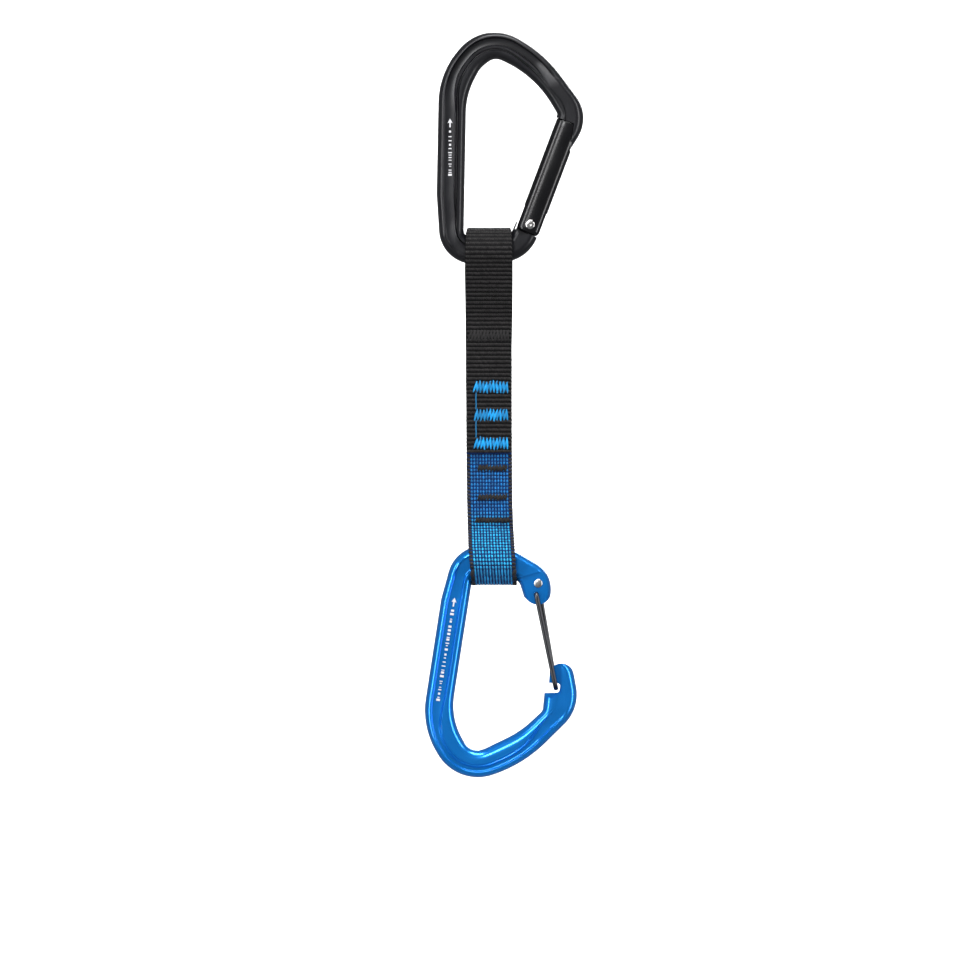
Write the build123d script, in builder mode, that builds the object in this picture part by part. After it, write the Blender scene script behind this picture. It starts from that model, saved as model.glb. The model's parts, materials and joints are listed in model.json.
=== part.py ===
"""Climbing quickdraw: two carabiners joined by a sewn webbing sling.

Z is up, X is to the right, Y goes into the depth. The origin is the point
where the bolt carabiner sits on its hanger, at the inside of its top bend.
All lengths are in millimetres, all angles in degrees.
"""

import os
from math import atan2, cos, radians, sin, sqrt

from build123d import *

os.makedirs("parts", exist_ok=True)

# ---------------------------------------------------------------- dimensions

# clearances
RUN_FIT = 0.06            # radial play of a pin in its hole
SIDE_PLAY = 0.3           # play between a moving part and the part it passes
PLY_PLAY = 0.05           # air between two plies of webbing

# bolt carabiner body
BOLT_THICK = 9.6
BOLT_RIM = 2.6            # rounded rim along the outside
BOLT_RIB = 2.6            # rounded rib along the inside
BOLT_GROOVE = 1.7         # narrow groove beside the inner rib
PANEL_DEPTH = 0.9
GROOVE_DEPTH = 1.6
BOLT_OUTER_ROUND = 2.3
BOLT_INNER_ROUND = 2.6
BOLT_OUTER = [
    ((-24.5, -5.5), 35.0),
    ((-4.5, 17.0), 20.0),
    ((20.5, 3.0), 55.0),
    ((41.0, -24.5), 16.0),
    ((31.2, -40.0), 8.5),
    ((14.0, -86.5), 16.5),
    ((-23.5, -89.0), 15.0),
    ((-25.5, -58.0), 14.5),
]
BOLT_INNER = [
    ((-12.7, -15.0), 33.0),
    ((-6.7, -3.8), 12.0),
    ((-0.7, 0.8), 5.4),
    ((16.3, -6.6), 46.0),
    ((26.4, -23.5), 1.6),
    ((9.3, -68.4), 1.6),
    ((5.4, -77.0), 4.0),
    ((-13.9, -77.2), 4.0),
]

# bolt gate
RIVET_AT = (14.6, -71.1)
GATE_TILT = 69.3          # direction of the gate axis, from +X
GATE_WIDTH = 10.6
GATE_THICK = 9.4
GATE_TAIL = 3.9           # from the rivet down to the end of the gate
GATE_REACH = 47.1         # from the rivet up to the end of the gate
GATE_OPEN = 27
FINGER_START = 35.6       # where the nose finger begins to cover the gate
FINGER_ROOT = 2.3         # offset of the finger face at the top of the gate
FINGER_TIP = 4.7          # offset of the finger face at its free end
RIVET_DIA = 3.2
RIVET_HEAD_DIA = 3.9
RIVET_HEAD = 0.35
TANG_THICK = 4.2
TANG_RADIUS = 3.7
TANG_SLOT_END = 7.0
KEY_THICK = 3.4
KEY_START = 39.5
BORE_DIA = 4.38
BORE_END = 26.0
PLUNGER_DIA = 4.2
PLUNGER_START = 4.4       # from the rivet to the tip of the plunger
PLUNGER_LENGTH = 7.6
PLUNGER_TIP_DIA = 1.2
PLUNGER_TIP = 2.4
PLUNGER_TRAVEL = 1.6
SPRING_WIRE = 0.5
SPRING_TURNS = 9

# the two bars that the sling joins
BOLT_BAR_Z = -82.3        # centre of the bar inside the upper fold
BAR_SPAN = 133.6          # from one bar down to the other
ROPE_BAR_Z = BOLT_BAR_Z - BAR_SPAN

# rope carabiner body, drawn upright on its own plane
ROPE_AT = (-0.7, ROPE_BAR_Z - 0.3)
ROPE_TILT = 9.2
ROPE_THICK = 9.2
ROPE_RIM = 2.6
ROPE_RIB = 2.8
ROPE_DEPTH = 1.1
ROPE_OUTER_ROUND = 2.3
ROPE_INNER_ROUND = 2.6
ROPE_OUTER = [
    ((-20.1, -19.0), 19.5),
    ((-17.3, 6.6), 15.0),
    ((8.5, 6.3), 10.5),
    ((27.5, -1.0), 13.5),
    ((24.8, -19.5), 4.0),
    ((33.6, -36.2), 3.0),
    ((39.9, -37.6), 8.7),
    ((46.5, -56.0), 18.0),
    ((26.0, -84.0), 58.0),
    ((-0.6, -97.6), 20.0),
    ((-19.7, -74.5), 35.0),
]
ROPE_INNER = [
    ((-8.2, -5.6), 5.0),
    ((11.4, -5.4), 5.0),
    ((29.6, -42.0), 2.0),
    ((30.6, -59.5), 3.0),
    ((22.7, -69.7), 43.0),
    ((3.5, -83.2), 7.3),
    ((-7.8, -68.8), 29.0),
]
LOBE_END = ((20.3, -8.9), 6.0)    # round end of the pivot lobe: middle, radius
NOSE_END = ((36.3, -43.9), 5.8)   # round top of the nose
LOBE_HALF = 3.8           # half thickness where the wire legs run
NOSE_HALF = 2.6           # half thickness between the wire legs

# rope wire gate
WIRE_DIA = 2.1
FRONT_PIVOT = (19.9, -10.5)
BACK_PIVOT = (20.0, -5.8)
WIRE_END = (34.7, -49.0)
WIRE_LEG_PLAY = 0.3
WIRE_HEAD_DIA = 3.6
WIRE_HEAD = 0.5
LEG_BEND = 1.3
END_BEND = 3.0

# webbing sling
WEB_THICK = 1.7
WEB_LEFT = -13.0
WEB_RIGHT = 6.9
FOLD_ROOM = 3.25          # air between a bar and the fold around it
UPPER_FOLD = BOLT_THICK / 2 + FOLD_ROOM + WEB_THICK / 2   # centre line radius
LOWER_FOLD = ROPE_THICK / 2 + FOLD_ROOM + 0.5 + WEB_THICK / 2
UPPER_SPLIT = BOLT_BAR_Z - 27.7   # where the plies of the upper loop come together
LOWER_SPLIT = ROPE_BAR_Z + 14.1
FRONT_END = LOWER_SPLIT + 32.8    # cut end lying on the front
BACK_END = UPPER_SPLIT - 18.0     # cut end lying on the back
FOLD_INSET = 1.6          # how far the top corners of the webbing draw in
FOOT_LEFT = -9.6
FOOT_RIGHT = 8.2
KEEPER_THICK = 0.9
KEEPER_LEFT = -8.2
KEEPER_RIGHT = 5.0
KEEPER_MOUTH = 12.0        # opening towards the plies

# bar tacks: height of the middle and height of the row
TACK_PROUD = 0.45
TACK_AIR = 0.01
TACK_CORNER = 0.8
TACK_LEFT = -11.0
TACK_RIGHT = 4.9
TACKS = [
    (UPPER_SPLIT - 8.8, 5.2),
    (BACK_END - 12.8, 5.4),
    (FRONT_END + 16.2, 5.4),
    (FRONT_END + 4.1, 5.4),
    (FRONT_END - 6.6, 3.0),
    (LOWER_SPLIT + 13.7, 3.0),
    (LOWER_SPLIT + 3.8, 2.6),
]


# ------------------------------------------------------------------- helpers


def save(part, label):
    """Name the solid and write it out."""
    part.label = label
    export_step(part, f"parts/{label}.step")


def ring_line(corners):
    """Closed outline: corners joined by straight lines, each rounded."""
    points = [corner for corner, _ in corners]
    rounds = [radius for _, radius in corners]
    return FilletPolyline(*points, radius=rounds, close=True)


def grown(corners, amount):
    """The same outline, all around wider by an amount."""
    result = []
    for index, (corner, radius) in enumerate(corners):
        before = corners[index - 1][0]
        after = corners[(index + 1) % len(corners)][0]
        arrive = (Vector(*corner) - Vector(*before)).normalized()
        leave = (Vector(*after) - Vector(*corner)).normalized()
        side_in = Vector(-arrive.Y, arrive.X)
        side_out = Vector(-leave.Y, leave.X)
        shift = (side_in + side_out) * (amount / (1 + side_in.dot(side_out)))
        result.append(((corner[0] + shift.X, corner[1] + shift.Y), radius + amount))
    return result


def around_rivet(along, across):
    """Point given along the gate axis and across it (outside positive)."""
    c = cos(radians(GATE_TILT))
    s = sin(radians(GATE_TILT))
    return (RIVET_AT[0] + along * c + across * s, RIVET_AT[1] + along * s - across * c)


def arc_points(middle, radius, start, stop):
    """Points along an arc of the flat drawing."""
    steps = 12
    result = []
    for step in range(steps + 1):
        angle = radians(start + (stop - start) * step / steps)
        result.append((middle[0] + radius * cos(angle), middle[1] + radius * sin(angle)))
    return result


def turned(point, angle):
    """Point of the flat drawing turned about the rivet."""
    dx = point[0] - RIVET_AT[0]
    dz = point[1] - RIVET_AT[1]
    c = cos(radians(angle))
    s = sin(radians(angle))
    return (RIVET_AT[0] + dx * c - dz * s, RIVET_AT[1] + dx * s + dz * c)


def rim_edges(part, half, outside):
    """Edges around the outside, or around the inside, of both side faces."""
    edges = ShapeList()
    for face in part.faces().filter_by(Axis.Y):
        if abs(abs(face.center().Y) - half) < 0.01:
            wires = face.wires().sort_by(SortBy.LENGTH)
            edges += wires[-1].edges() if outside else wires[0].edges()
    return edges


FRONT = Plane.XZ
GATE_AXIS = Plane(
    origin=(RIVET_AT[0], 0, RIVET_AT[1]),
    x_dir=(0, 1, 0),
    z_dir=(cos(radians(GATE_TILT)), 0, sin(radians(GATE_TILT))),
)
ROPE_PLANE = Plane(
    origin=(ROPE_AT[0], 0, ROPE_AT[1]),
    x_dir=(cos(radians(ROPE_TILT)), 0, -sin(radians(ROPE_TILT))),
    z_dir=(0, -1, 0),
)
SIDE = Plane.YZ

# outline of the gate, along and across its axis
HALF_GATE = GATE_WIDTH / 2
GATE_CORNERS = [
    ((-GATE_TAIL, -HALF_GATE), 1.8),
    ((-GATE_TAIL, HALF_GATE), 1.8),
    ((FINGER_START, HALF_GATE), 0.4),
    ((FINGER_START + 0.4, FINGER_TIP), 0.4),
    ((GATE_REACH, FINGER_ROOT), 0.4),
    ((GATE_REACH, -HALF_GATE), 0.8),
]
PLAY = SIDE_PLAY
GATE_ROOM = [
    (4.0, -HALF_GATE - 3),
    (4.0, -HALF_GATE - PLAY),
    (-GATE_TAIL - PLAY, -HALF_GATE - PLAY),
    (-GATE_TAIL - PLAY, HALF_GATE + 4),
    (FINGER_START + PLAY, HALF_GATE + 4),
    (FINGER_START + PLAY, FINGER_TIP + PLAY),
    (GATE_REACH + PLAY, FINGER_ROOT + PLAY),
    (GATE_REACH + PLAY, -HALF_GATE - 3),
]
TAIL_ROOM = [
    (-GATE_TAIL - PLAY, -HALF_GATE - PLAY + 1.2),
    (-GATE_TAIL - PLAY + 1.2, -HALF_GATE - PLAY),
    (12.0, -HALF_GATE - PLAY),
    (12.0, HALF_GATE + PLAY),
    (-GATE_TAIL - PLAY, HALF_GATE + PLAY),
]

# where the relief of the bolt body stops: nose, gate side and pivot
RELIEF_END = [
    (60.0, -19.0),
    (28.5, -19.0),
    (20.0, -30.0),
    (-3.0, -69.0),
    (-40.0, -69.0),
    (-40.0, -120.0),
    (60.0, -120.0),
]
SWING_STEPS = 6
GATE_CORNER = 4.2
HEAD_TAPER = 30
CAM_RISE = PLUNGER_TRAVEL / radians(GATE_OPEN)


def cam_point(angle):
    """Point of the cam at an angle from the gate axis towards the inside."""
    radius = TANG_RADIUS + CAM_RISE * max(0, radians(angle - 8))
    return (radius * cos(radians(angle)), -radius * sin(radians(angle)))


TANG_CORNERS = [cam_point(angle) for angle in range(-80, 40, 8)] + [
    (1.5, -4.4),
    (-3.0, -5.0),
    (-8.0, -5.0),
    (-8.0, 3.5),
]
TAIL_SLOT = [
    (-10.0, -8.0),
    (-10.0, 8.0),
    (TANG_SLOT_END, 8.0),
    (TANG_SLOT_END, -8.0),
]
KEY_CORNERS = [
    (GATE_REACH + 1.5, -1.0),
    (KEY_START, -1.0),
    (KEY_START, 4.6),
    (GATE_REACH + 1.5, 3.0),
]
KEY_SLOT = [
    (GATE_REACH + 2, -1.0 - PLAY),
    (KEY_START - PLAY, -1.0 - PLAY),
    (KEY_START - PLAY, 9.0),
    (GATE_REACH + 2, 9.0),
]

# rope carabiner: gap of the gate, relief end, wire notch and flats
GATE_GAP = [
    (10.0, -30.0),
    (14.2, -12.0),
    *arc_points(*LOBE_END, -125, -4),
    (50.0, -9.3),
    (50.0, -41.0),
    *arc_points(*NOSE_END, 30, 158),
    (31.4, -47.2),
    (26.0, -48.0),
]
ROPE_RELIEF_END = [
    (9.0, 12.0),
    (9.0, -40.0),
    (28.0, -47.0),
    (60.0, -47.0),
    (60.0, 12.0),
]
NOTCH_ROOM = WIRE_DIA / 2 + PLAY + 0.35
NOTCH_LIFT = 0.7
WIRE_NOTCH = [
    (WIRE_END[0] + NOTCH_ROOM, WIRE_END[1] + NOTCH_ROOM + NOTCH_LIFT),
    (WIRE_END[0] + NOTCH_ROOM, WIRE_END[1] - NOTCH_ROOM),
    (WIRE_END[0] - 8.0, WIRE_END[1] - NOTCH_ROOM - 1.8),
    (WIRE_END[0] - 8.0, WIRE_END[1] + NOTCH_ROOM + NOTCH_LIFT - 1.2),
]
LOBE_FLAT = [
    ((12.0, -4.5), 1.5),
    ((17.5, -1.8), 3.0),
    ((30.0, 4.0), 1.0),
    ((30.0, -20.0), 1.0),
    ((14.5, -20.0), 1.0),
]
NOSE_FLAT = [
    ((20.0, -30.0), 1.0),
    ((34.0, -30.0), 1.0),
    ((36.0, -42.0), 3.0),
    ((37.6, -50.5), 2.0),
    ((34.0, -53.5), 1.0),
    ((20.0, -53.5), 1.0),
]

# front outline of the webbing
SLING_TOP = BOLT_BAR_Z + UPPER_FOLD + WEB_THICK
SLING_FOOT = ROPE_BAR_Z - LOWER_FOLD - WEB_THICK
SLING_FRONT = [
    (WEB_LEFT + FOLD_INSET, SLING_TOP),
    (WEB_RIGHT - FOLD_INSET, SLING_TOP),
    (WEB_RIGHT, SLING_TOP - 3 * FOLD_INSET),
    (WEB_RIGHT, ROPE_BAR_Z + 4),
    (FOOT_RIGHT, ROPE_BAR_Z - 5),
    (FOOT_RIGHT - 0.6, SLING_FOOT),
    (FOOT_LEFT + 0.6, SLING_FOOT),
    (FOOT_LEFT, ROPE_BAR_Z - 5),
    (WEB_LEFT, ROPE_BAR_Z + 4),
    (WEB_LEFT, SLING_TOP - 3 * FOLD_INSET),
]

# -------------------------------------------------------- bolt carabiner body

HALF_BOLT = BOLT_THICK / 2

with BuildPart() as bolt_body:
    with BuildSketch(FRONT) as bolt_face:
        with BuildLine():
            ring_line(BOLT_OUTER)
        make_face()
        with BuildLine():
            ring_line(BOLT_INNER)
        make_face(mode=Mode.SUBTRACT)
    extrude(amount=HALF_BOLT, both=True)
    fillet(rim_edges(bolt_body.part, HALF_BOLT, False), BOLT_INNER_ROUND)
    fillet(rim_edges(bolt_body.part, HALF_BOLT, True), BOLT_OUTER_ROUND)
    # relief on both sides: a shallow panel, and a narrow groove beside the rib
    for depth, inset in ((PANEL_DEPTH, BOLT_RIB + BOLT_GROOVE), (GROOVE_DEPTH, BOLT_RIB)):
        for side in (-1, 1):
            with BuildSketch(FRONT.offset(side * (HALF_BOLT - depth))) as relief:
                with BuildLine():
                    ring_line(grown(BOLT_OUTER, -BOLT_RIM))
                make_face()
                with BuildLine():
                    ring_line(grown(BOLT_INNER, inset))
                make_face(mode=Mode.SUBTRACT)
                with BuildLine():
                    Polyline(*RELIEF_END, close=True)
                make_face(mode=Mode.SUBTRACT)
            extrude(amount=2 * depth, dir=(0, -side, 0), mode=Mode.SUBTRACT)
    # room for the gate, closed and while its tail swings
    with BuildSketch(FRONT) as gate_room:
        with BuildLine():
            Polyline(*[around_rivet(*point) for point in GATE_ROOM], close=True)
        make_face()
        for step in range(1, SWING_STEPS + 1):
            angle = GATE_OPEN * step / SWING_STEPS
            with BuildLine():
                Polyline(*[turned(around_rivet(*p), angle) for p in TAIL_ROOM], close=True)
            make_face()
    extrude(amount=HALF_BOLT + 1, both=True, mode=Mode.SUBTRACT)
    # tang between the cheeks of the gate, with the cam for the plunger
    with BuildSketch(FRONT) as tang:
        with BuildLine():
            Polyline(*[around_rivet(*point) for point in TANG_CORNERS], close=True)
        make_face()
    extrude(amount=TANG_THICK / 2, both=True)
    # key on the nose, caught by the slot in the gate
    with BuildSketch(FRONT) as key:
        with BuildLine():
            Polyline(*[around_rivet(*point) for point in KEY_CORNERS], close=True)
        make_face()
    extrude(amount=KEY_THICK / 2, both=True)
    with BuildSketch(FRONT) as rivet_hole:
        with Locations(RIVET_AT):
            Circle(RIVET_DIA / 2 + RUN_FIT)
    extrude(amount=HALF_BOLT, both=True, mode=Mode.SUBTRACT)

save(bolt_body.part, "bolt_carabiner_body")

# ------------------------------------------------------------------ bolt gate

with BuildPart() as gate:
    with BuildSketch(FRONT) as gate_face:
        with BuildLine():
            points = [around_rivet(*corner) for corner, _ in GATE_CORNERS]
            rounds = [radius for _, radius in GATE_CORNERS]
            FilletPolyline(*points, radius=rounds, close=True)
        make_face()
    extrude(amount=GATE_THICK / 2, both=True)
    with BuildSketch(GATE_AXIS.offset(-2 * GATE_TAIL)) as gate_round:
        RectangleRounded(GATE_THICK, GATE_WIDTH, GATE_CORNER)
    extrude(amount=GATE_REACH + 4 * GATE_TAIL, mode=Mode.INTERSECT)
    # slot over the tang, open at the tail
    with BuildSketch(FRONT) as tail_slot:
        with BuildLine():
            Polyline(*[around_rivet(*point) for point in TAIL_SLOT], close=True)
        make_face()
    extrude(amount=TANG_THICK / 2 + SIDE_PLAY / 2, both=True, mode=Mode.SUBTRACT)
    # slot over the key of the nose
    with BuildSketch(FRONT) as key_slot:
        with BuildLine():
            Polyline(*[around_rivet(*point) for point in KEY_SLOT], close=True)
        make_face()
    extrude(amount=KEY_THICK / 2 + SIDE_PLAY, both=True, mode=Mode.SUBTRACT)
    with BuildSketch(GATE_AXIS.offset(TANG_SLOT_END / 2)) as bore:
        Circle(BORE_DIA / 2)
    extrude(amount=BORE_END - TANG_SLOT_END / 2, mode=Mode.SUBTRACT)
    with BuildSketch(FRONT) as gate_rivet_hole:
        with Locations(RIVET_AT):
            Circle(RIVET_DIA / 2 + RUN_FIT)
    extrude(amount=GATE_THICK, both=True, mode=Mode.SUBTRACT)

save(gate.part, "bolt_gate")

# ---------------------------------------------------------------- gate rivet

with BuildPart() as rivet:
    with BuildSketch(FRONT) as rivet_face:
        with Locations(RIVET_AT):
            Circle(RIVET_DIA / 2)
    extrude(amount=GATE_THICK / 2, both=True)
    for side in (-1, 1):
        with BuildSketch(FRONT.offset(side * (GATE_THICK / 2 + RUN_FIT))) as head:
            with Locations(RIVET_AT):
                Circle(RIVET_HEAD_DIA / 2)
        extrude(amount=side * RIVET_HEAD, taper=HEAD_TAPER)
        with BuildSketch(FRONT.offset(side * GATE_THICK / 2)) as neck:
            with Locations(RIVET_AT):
                Circle(RIVET_DIA / 2)
        extrude(amount=side * RUN_FIT)

save(rivet.part, "bolt_gate_rivet")

# ------------------------------------------------------- plunger and spring

with BuildPart() as plunger:
    with BuildSketch(GATE_AXIS.offset(PLUNGER_START + PLUNGER_TIP)) as plunger_round:
        Circle(PLUNGER_DIA / 2)
    extrude(amount=PLUNGER_LENGTH - PLUNGER_TIP)
    with BuildSketch(GATE_AXIS.offset(PLUNGER_START + PLUNGER_TIP)) as tip_root:
        Circle(PLUNGER_DIA / 2)
    with BuildSketch(GATE_AXIS.offset(PLUNGER_START)) as tip_end:
        Circle(PLUNGER_TIP_DIA / 2)
    loft()

save(plunger.part, "bolt_gate_plunger")

SPRING_FROM = PLUNGER_START + PLUNGER_LENGTH + SPRING_WIRE / 2 + RUN_FIT
SPRING_TO = BORE_END - SPRING_WIRE / 2 - RUN_FIT
SPRING_RADIUS = BORE_DIA / 2 - SPRING_WIRE / 2 - 2 * RUN_FIT

with BuildPart() as spring:
    with BuildLine() as coil:
        height = SPRING_TO - SPRING_FROM
        Helix(
            pitch=height / SPRING_TURNS,
            height=height,
            radius=SPRING_RADIUS,
            center=GATE_AXIS.offset(SPRING_FROM).origin,
            direction=GATE_AXIS.z_dir,
        )
    with BuildSketch(Plane(origin=coil.line @ 0, z_dir=coil.line % 0)) as coil_wire:
        Circle(SPRING_WIRE / 2)
    sweep(path=coil.line, is_frenet=True)

save(spring.part, "bolt_gate_spring")

# -------------------------------------------------------- rope carabiner body

HALF_ROPE = ROPE_THICK / 2

with BuildPart() as rope_body:
    with BuildSketch(ROPE_PLANE) as rope_face:
        with BuildLine():
            ring_line(ROPE_OUTER)
        make_face()
        with BuildLine():
            ring_line(ROPE_INNER)
        make_face(mode=Mode.SUBTRACT)
    extrude(amount=HALF_ROPE, both=True)
    fillet(rim_edges(rope_body.part, HALF_ROPE, False), ROPE_INNER_ROUND)
    fillet(rim_edges(rope_body.part, HALF_ROPE, True), ROPE_OUTER_ROUND)
    for side in (-1, 1):
        with BuildSketch(ROPE_PLANE.offset(side * (HALF_ROPE - ROPE_DEPTH))) as hollow:
            with BuildLine():
                ring_line(grown(ROPE_OUTER, -ROPE_RIM))
            make_face()
            with BuildLine():
                ring_line(grown(ROPE_INNER, ROPE_RIB))
            make_face(mode=Mode.SUBTRACT)
            with BuildLine():
                Polyline(*ROPE_RELIEF_END, close=True)
            make_face(mode=Mode.SUBTRACT)
        extrude(amount=2 * ROPE_DEPTH, dir=(0, -side, 0), mode=Mode.SUBTRACT)
    with BuildSketch(ROPE_PLANE) as gate_gap:
        with BuildLine():
            Polyline(*GATE_GAP, close=True)
        make_face()
        with BuildLine():
            FilletPolyline(*WIRE_NOTCH, radius=WIRE_DIA / 2 + PLAY, close=True)
        make_face()
    extrude(amount=HALF_ROPE + 1, both=True, mode=Mode.SUBTRACT)
    # flats for the wire legs at the pivot and at the nose
    for side in (-1, 1):
        with BuildSketch(ROPE_PLANE.offset(side * LOBE_HALF)) as lobe_flat:
            with BuildLine():
                ring_line(LOBE_FLAT)
            make_face()
        extrude(amount=side * HALF_ROPE, mode=Mode.SUBTRACT)
        with BuildSketch(ROPE_PLANE.offset(side * NOSE_HALF)) as nose_flat:
            with BuildLine():
                ring_line(NOSE_FLAT)
            make_face()
        extrude(amount=side * HALF_ROPE, mode=Mode.SUBTRACT)
    with BuildSketch(ROPE_PLANE) as wire_holes:
        with Locations(FRONT_PIVOT, BACK_PIVOT):
            Circle(WIRE_DIA / 2 + RUN_FIT)
    extrude(amount=HALF_ROPE, both=True, mode=Mode.SUBTRACT)

save(rope_body.part, "rope_carabiner_body")

# ------------------------------------------------------------ rope wire gate

LEG_Y = LOBE_HALF + WIRE_LEG_PLAY + WIRE_DIA / 2
END_Y = NOSE_HALF + PLAY + WIRE_DIA / 2
HEAD_Y = LOBE_HALF + RUN_FIT


def on_rope(point, y):
    """Point of the upright drawing at a given depth."""
    flat = ROPE_PLANE.from_local_coords((point[0], point[1], 0))
    return Vector(flat.X, y, flat.Z)


with BuildPart() as wire_gate:
    with BuildLine() as wire_path:
        FilletPolyline(
            on_rope(FRONT_PIVOT, HEAD_Y),
            on_rope(FRONT_PIVOT, -LEG_Y),
            on_rope(WIRE_END, -END_Y),
            on_rope(WIRE_END, END_Y),
            on_rope(BACK_PIVOT, LEG_Y),
            on_rope(BACK_PIVOT, -HEAD_Y),
            radius=[LEG_BEND, END_BEND, END_BEND, LEG_BEND],
        )
    with BuildSketch(Plane(origin=wire_path.line @ 0, z_dir=(0, -1, 0))) as wire_round:
        Circle(WIRE_DIA / 2)
    sweep(path=wire_path.line)
    for pivot, side in ((FRONT_PIVOT, 1), (BACK_PIVOT, -1)):
        with BuildSketch(Plane(origin=on_rope(pivot, side * HEAD_Y), z_dir=(0, side, 0))):
            Circle(WIRE_HEAD_DIA / 2)
        extrude(amount=WIRE_HEAD, taper=HEAD_TAPER)

save(wire_gate.part, "rope_wire_gate")

# ------------------------------------------------------------ webbing sling

PITCH = WEB_THICK + PLY_PLAY


def loop_corner(split, centre, radius):
    """Height at which the slanted ply meets the upright beside the fold."""
    slant = atan2(radius, sqrt((split - centre) ** 2 - radius**2))
    reach = radius / sin(slant) * cos(slant)
    return split + reach if centre > split else split - reach


UPPER_CORNER = loop_corner(UPPER_SPLIT, BOLT_BAR_Z, UPPER_FOLD)
LOWER_CORNER = loop_corner(LOWER_SPLIT, ROPE_BAR_Z, LOWER_FOLD)
UPPER_TOP = BOLT_BAR_Z + UPPER_FOLD
LOWER_END = ROPE_BAR_Z - LOWER_FOLD

with BuildPart() as sling:
    with BuildSketch(SIDE.offset(WEB_LEFT)) as sling_side:
        with BuildLine():
            FilletPolyline(
                (-PITCH, FRONT_END),
                (-PITCH, UPPER_SPLIT),
                (-UPPER_FOLD, UPPER_CORNER),
                (-UPPER_FOLD, UPPER_TOP),
                (UPPER_FOLD, UPPER_TOP),
                (UPPER_FOLD, UPPER_CORNER),
                (0, UPPER_SPLIT),
                (0, LOWER_SPLIT),
                (-LOWER_FOLD, LOWER_CORNER),
                (-LOWER_FOLD, LOWER_END),
                (LOWER_FOLD, LOWER_END),
                (LOWER_FOLD, LOWER_CORNER),
                (PITCH, LOWER_SPLIT),
                (PITCH, BACK_END),
                radius=[
                    12, UPPER_FOLD, UPPER_FOLD - 0.1, UPPER_FOLD - 0.1, UPPER_FOLD, 12,
                    3, LOWER_FOLD, LOWER_FOLD - 0.1, LOWER_FOLD - 0.1, LOWER_FOLD, 3,
                ],
            )
            offset(amount=WEB_THICK / 2, side=Side.BOTH)
        make_face()
    extrude(amount=WEB_RIGHT - WEB_LEFT)
    with BuildSketch(FRONT) as sling_front:
        with BuildLine():
            FilletPolyline(*SLING_FRONT, radius=1.5, close=True)
        make_face()
    extrude(amount=LOWER_FOLD + 2 * WEB_THICK, both=True, mode=Mode.INTERSECT)

save(sling.part, "sling_webbing")

# keeper: a rubber band lining the lower fold
KEEPER_OUT = LOWER_FOLD - WEB_THICK / 2 - PLY_PLAY
with BuildPart() as keeper:
    with BuildSketch(SIDE.offset(KEEPER_LEFT)) as keeper_side:
        with Locations((0, ROPE_BAR_Z)):
            Circle(KEEPER_OUT)
            Circle(KEEPER_OUT - KEEPER_THICK, mode=Mode.SUBTRACT)
        with Locations((0, ROPE_BAR_Z + KEEPER_OUT)):
            Rectangle(KEEPER_MOUTH, 2 * KEEPER_OUT, mode=Mode.SUBTRACT)
    extrude(amount=KEEPER_RIGHT - KEEPER_LEFT)

save(keeper.part, "rope_end_keeper")

# ------------------------------------------------------------------ bar tacks


def surface(height):
    """Depths of the front and of the back of the webbing at a height."""
    front = -WEB_THICK / 2
    back = WEB_THICK / 2
    if height > FRONT_END:
        front -= PITCH
    if height < BACK_END:
        back += PITCH
    return front, back


def bar_tack(height, rise):
    """One row of stitches: a rounded pad on the front and one on the back."""
    with BuildPart() as tack:
        for depth, outward in zip(surface(height), (-1, 1)):
            base = Plane(origin=(0, depth, 0), x_dir=(1, 0, 0), z_dir=(0, -1, 0))
            with BuildSketch(base.offset(TACK_AIR * -outward)):
                with Locations(((TACK_LEFT + TACK_RIGHT) / 2, height)):
                    RectangleRounded(TACK_RIGHT - TACK_LEFT, rise, TACK_CORNER)
            extrude(amount=TACK_PROUD, dir=(0, outward, 0))
    return tack.part


for number, (height, rise) in enumerate(TACKS, start=1):
    save(bar_tack(height, rise), f"bar_tack_{number}")
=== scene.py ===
"""Climbing quickdraw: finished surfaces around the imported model."""

import json
import math
import random

import bpy
from mathutils import Matrix, Vector

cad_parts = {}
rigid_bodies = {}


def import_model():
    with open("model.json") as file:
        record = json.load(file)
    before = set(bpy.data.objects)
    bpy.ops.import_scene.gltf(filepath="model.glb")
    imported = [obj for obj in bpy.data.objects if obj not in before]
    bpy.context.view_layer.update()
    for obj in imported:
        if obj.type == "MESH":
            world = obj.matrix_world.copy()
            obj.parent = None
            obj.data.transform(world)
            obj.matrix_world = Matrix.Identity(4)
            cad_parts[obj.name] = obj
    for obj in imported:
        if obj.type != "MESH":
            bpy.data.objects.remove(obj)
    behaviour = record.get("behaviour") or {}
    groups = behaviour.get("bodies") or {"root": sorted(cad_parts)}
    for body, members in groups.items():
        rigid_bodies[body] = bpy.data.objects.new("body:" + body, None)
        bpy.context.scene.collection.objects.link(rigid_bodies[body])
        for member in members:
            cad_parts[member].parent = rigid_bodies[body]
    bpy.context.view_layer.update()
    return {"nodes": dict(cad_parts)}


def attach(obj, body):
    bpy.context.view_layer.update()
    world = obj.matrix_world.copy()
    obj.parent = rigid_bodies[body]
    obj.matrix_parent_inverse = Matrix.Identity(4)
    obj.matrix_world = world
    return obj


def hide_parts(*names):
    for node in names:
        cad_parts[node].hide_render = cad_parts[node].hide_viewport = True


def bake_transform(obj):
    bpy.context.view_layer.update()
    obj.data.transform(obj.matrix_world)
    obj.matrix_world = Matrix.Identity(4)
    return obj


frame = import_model()

bl_info = {
    "name": "Climbing quickdraw",
    "version": (1, 0, 0),
    "blender": (4, 5, 0),
    "location": "3D View > Sidebar > Quickdraw",
    "description": "Builds the carabiners, gates and sewn webbing of a climbing quickdraw",
    "category": "Add Mesh",
}

MM = 0.001

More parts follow.
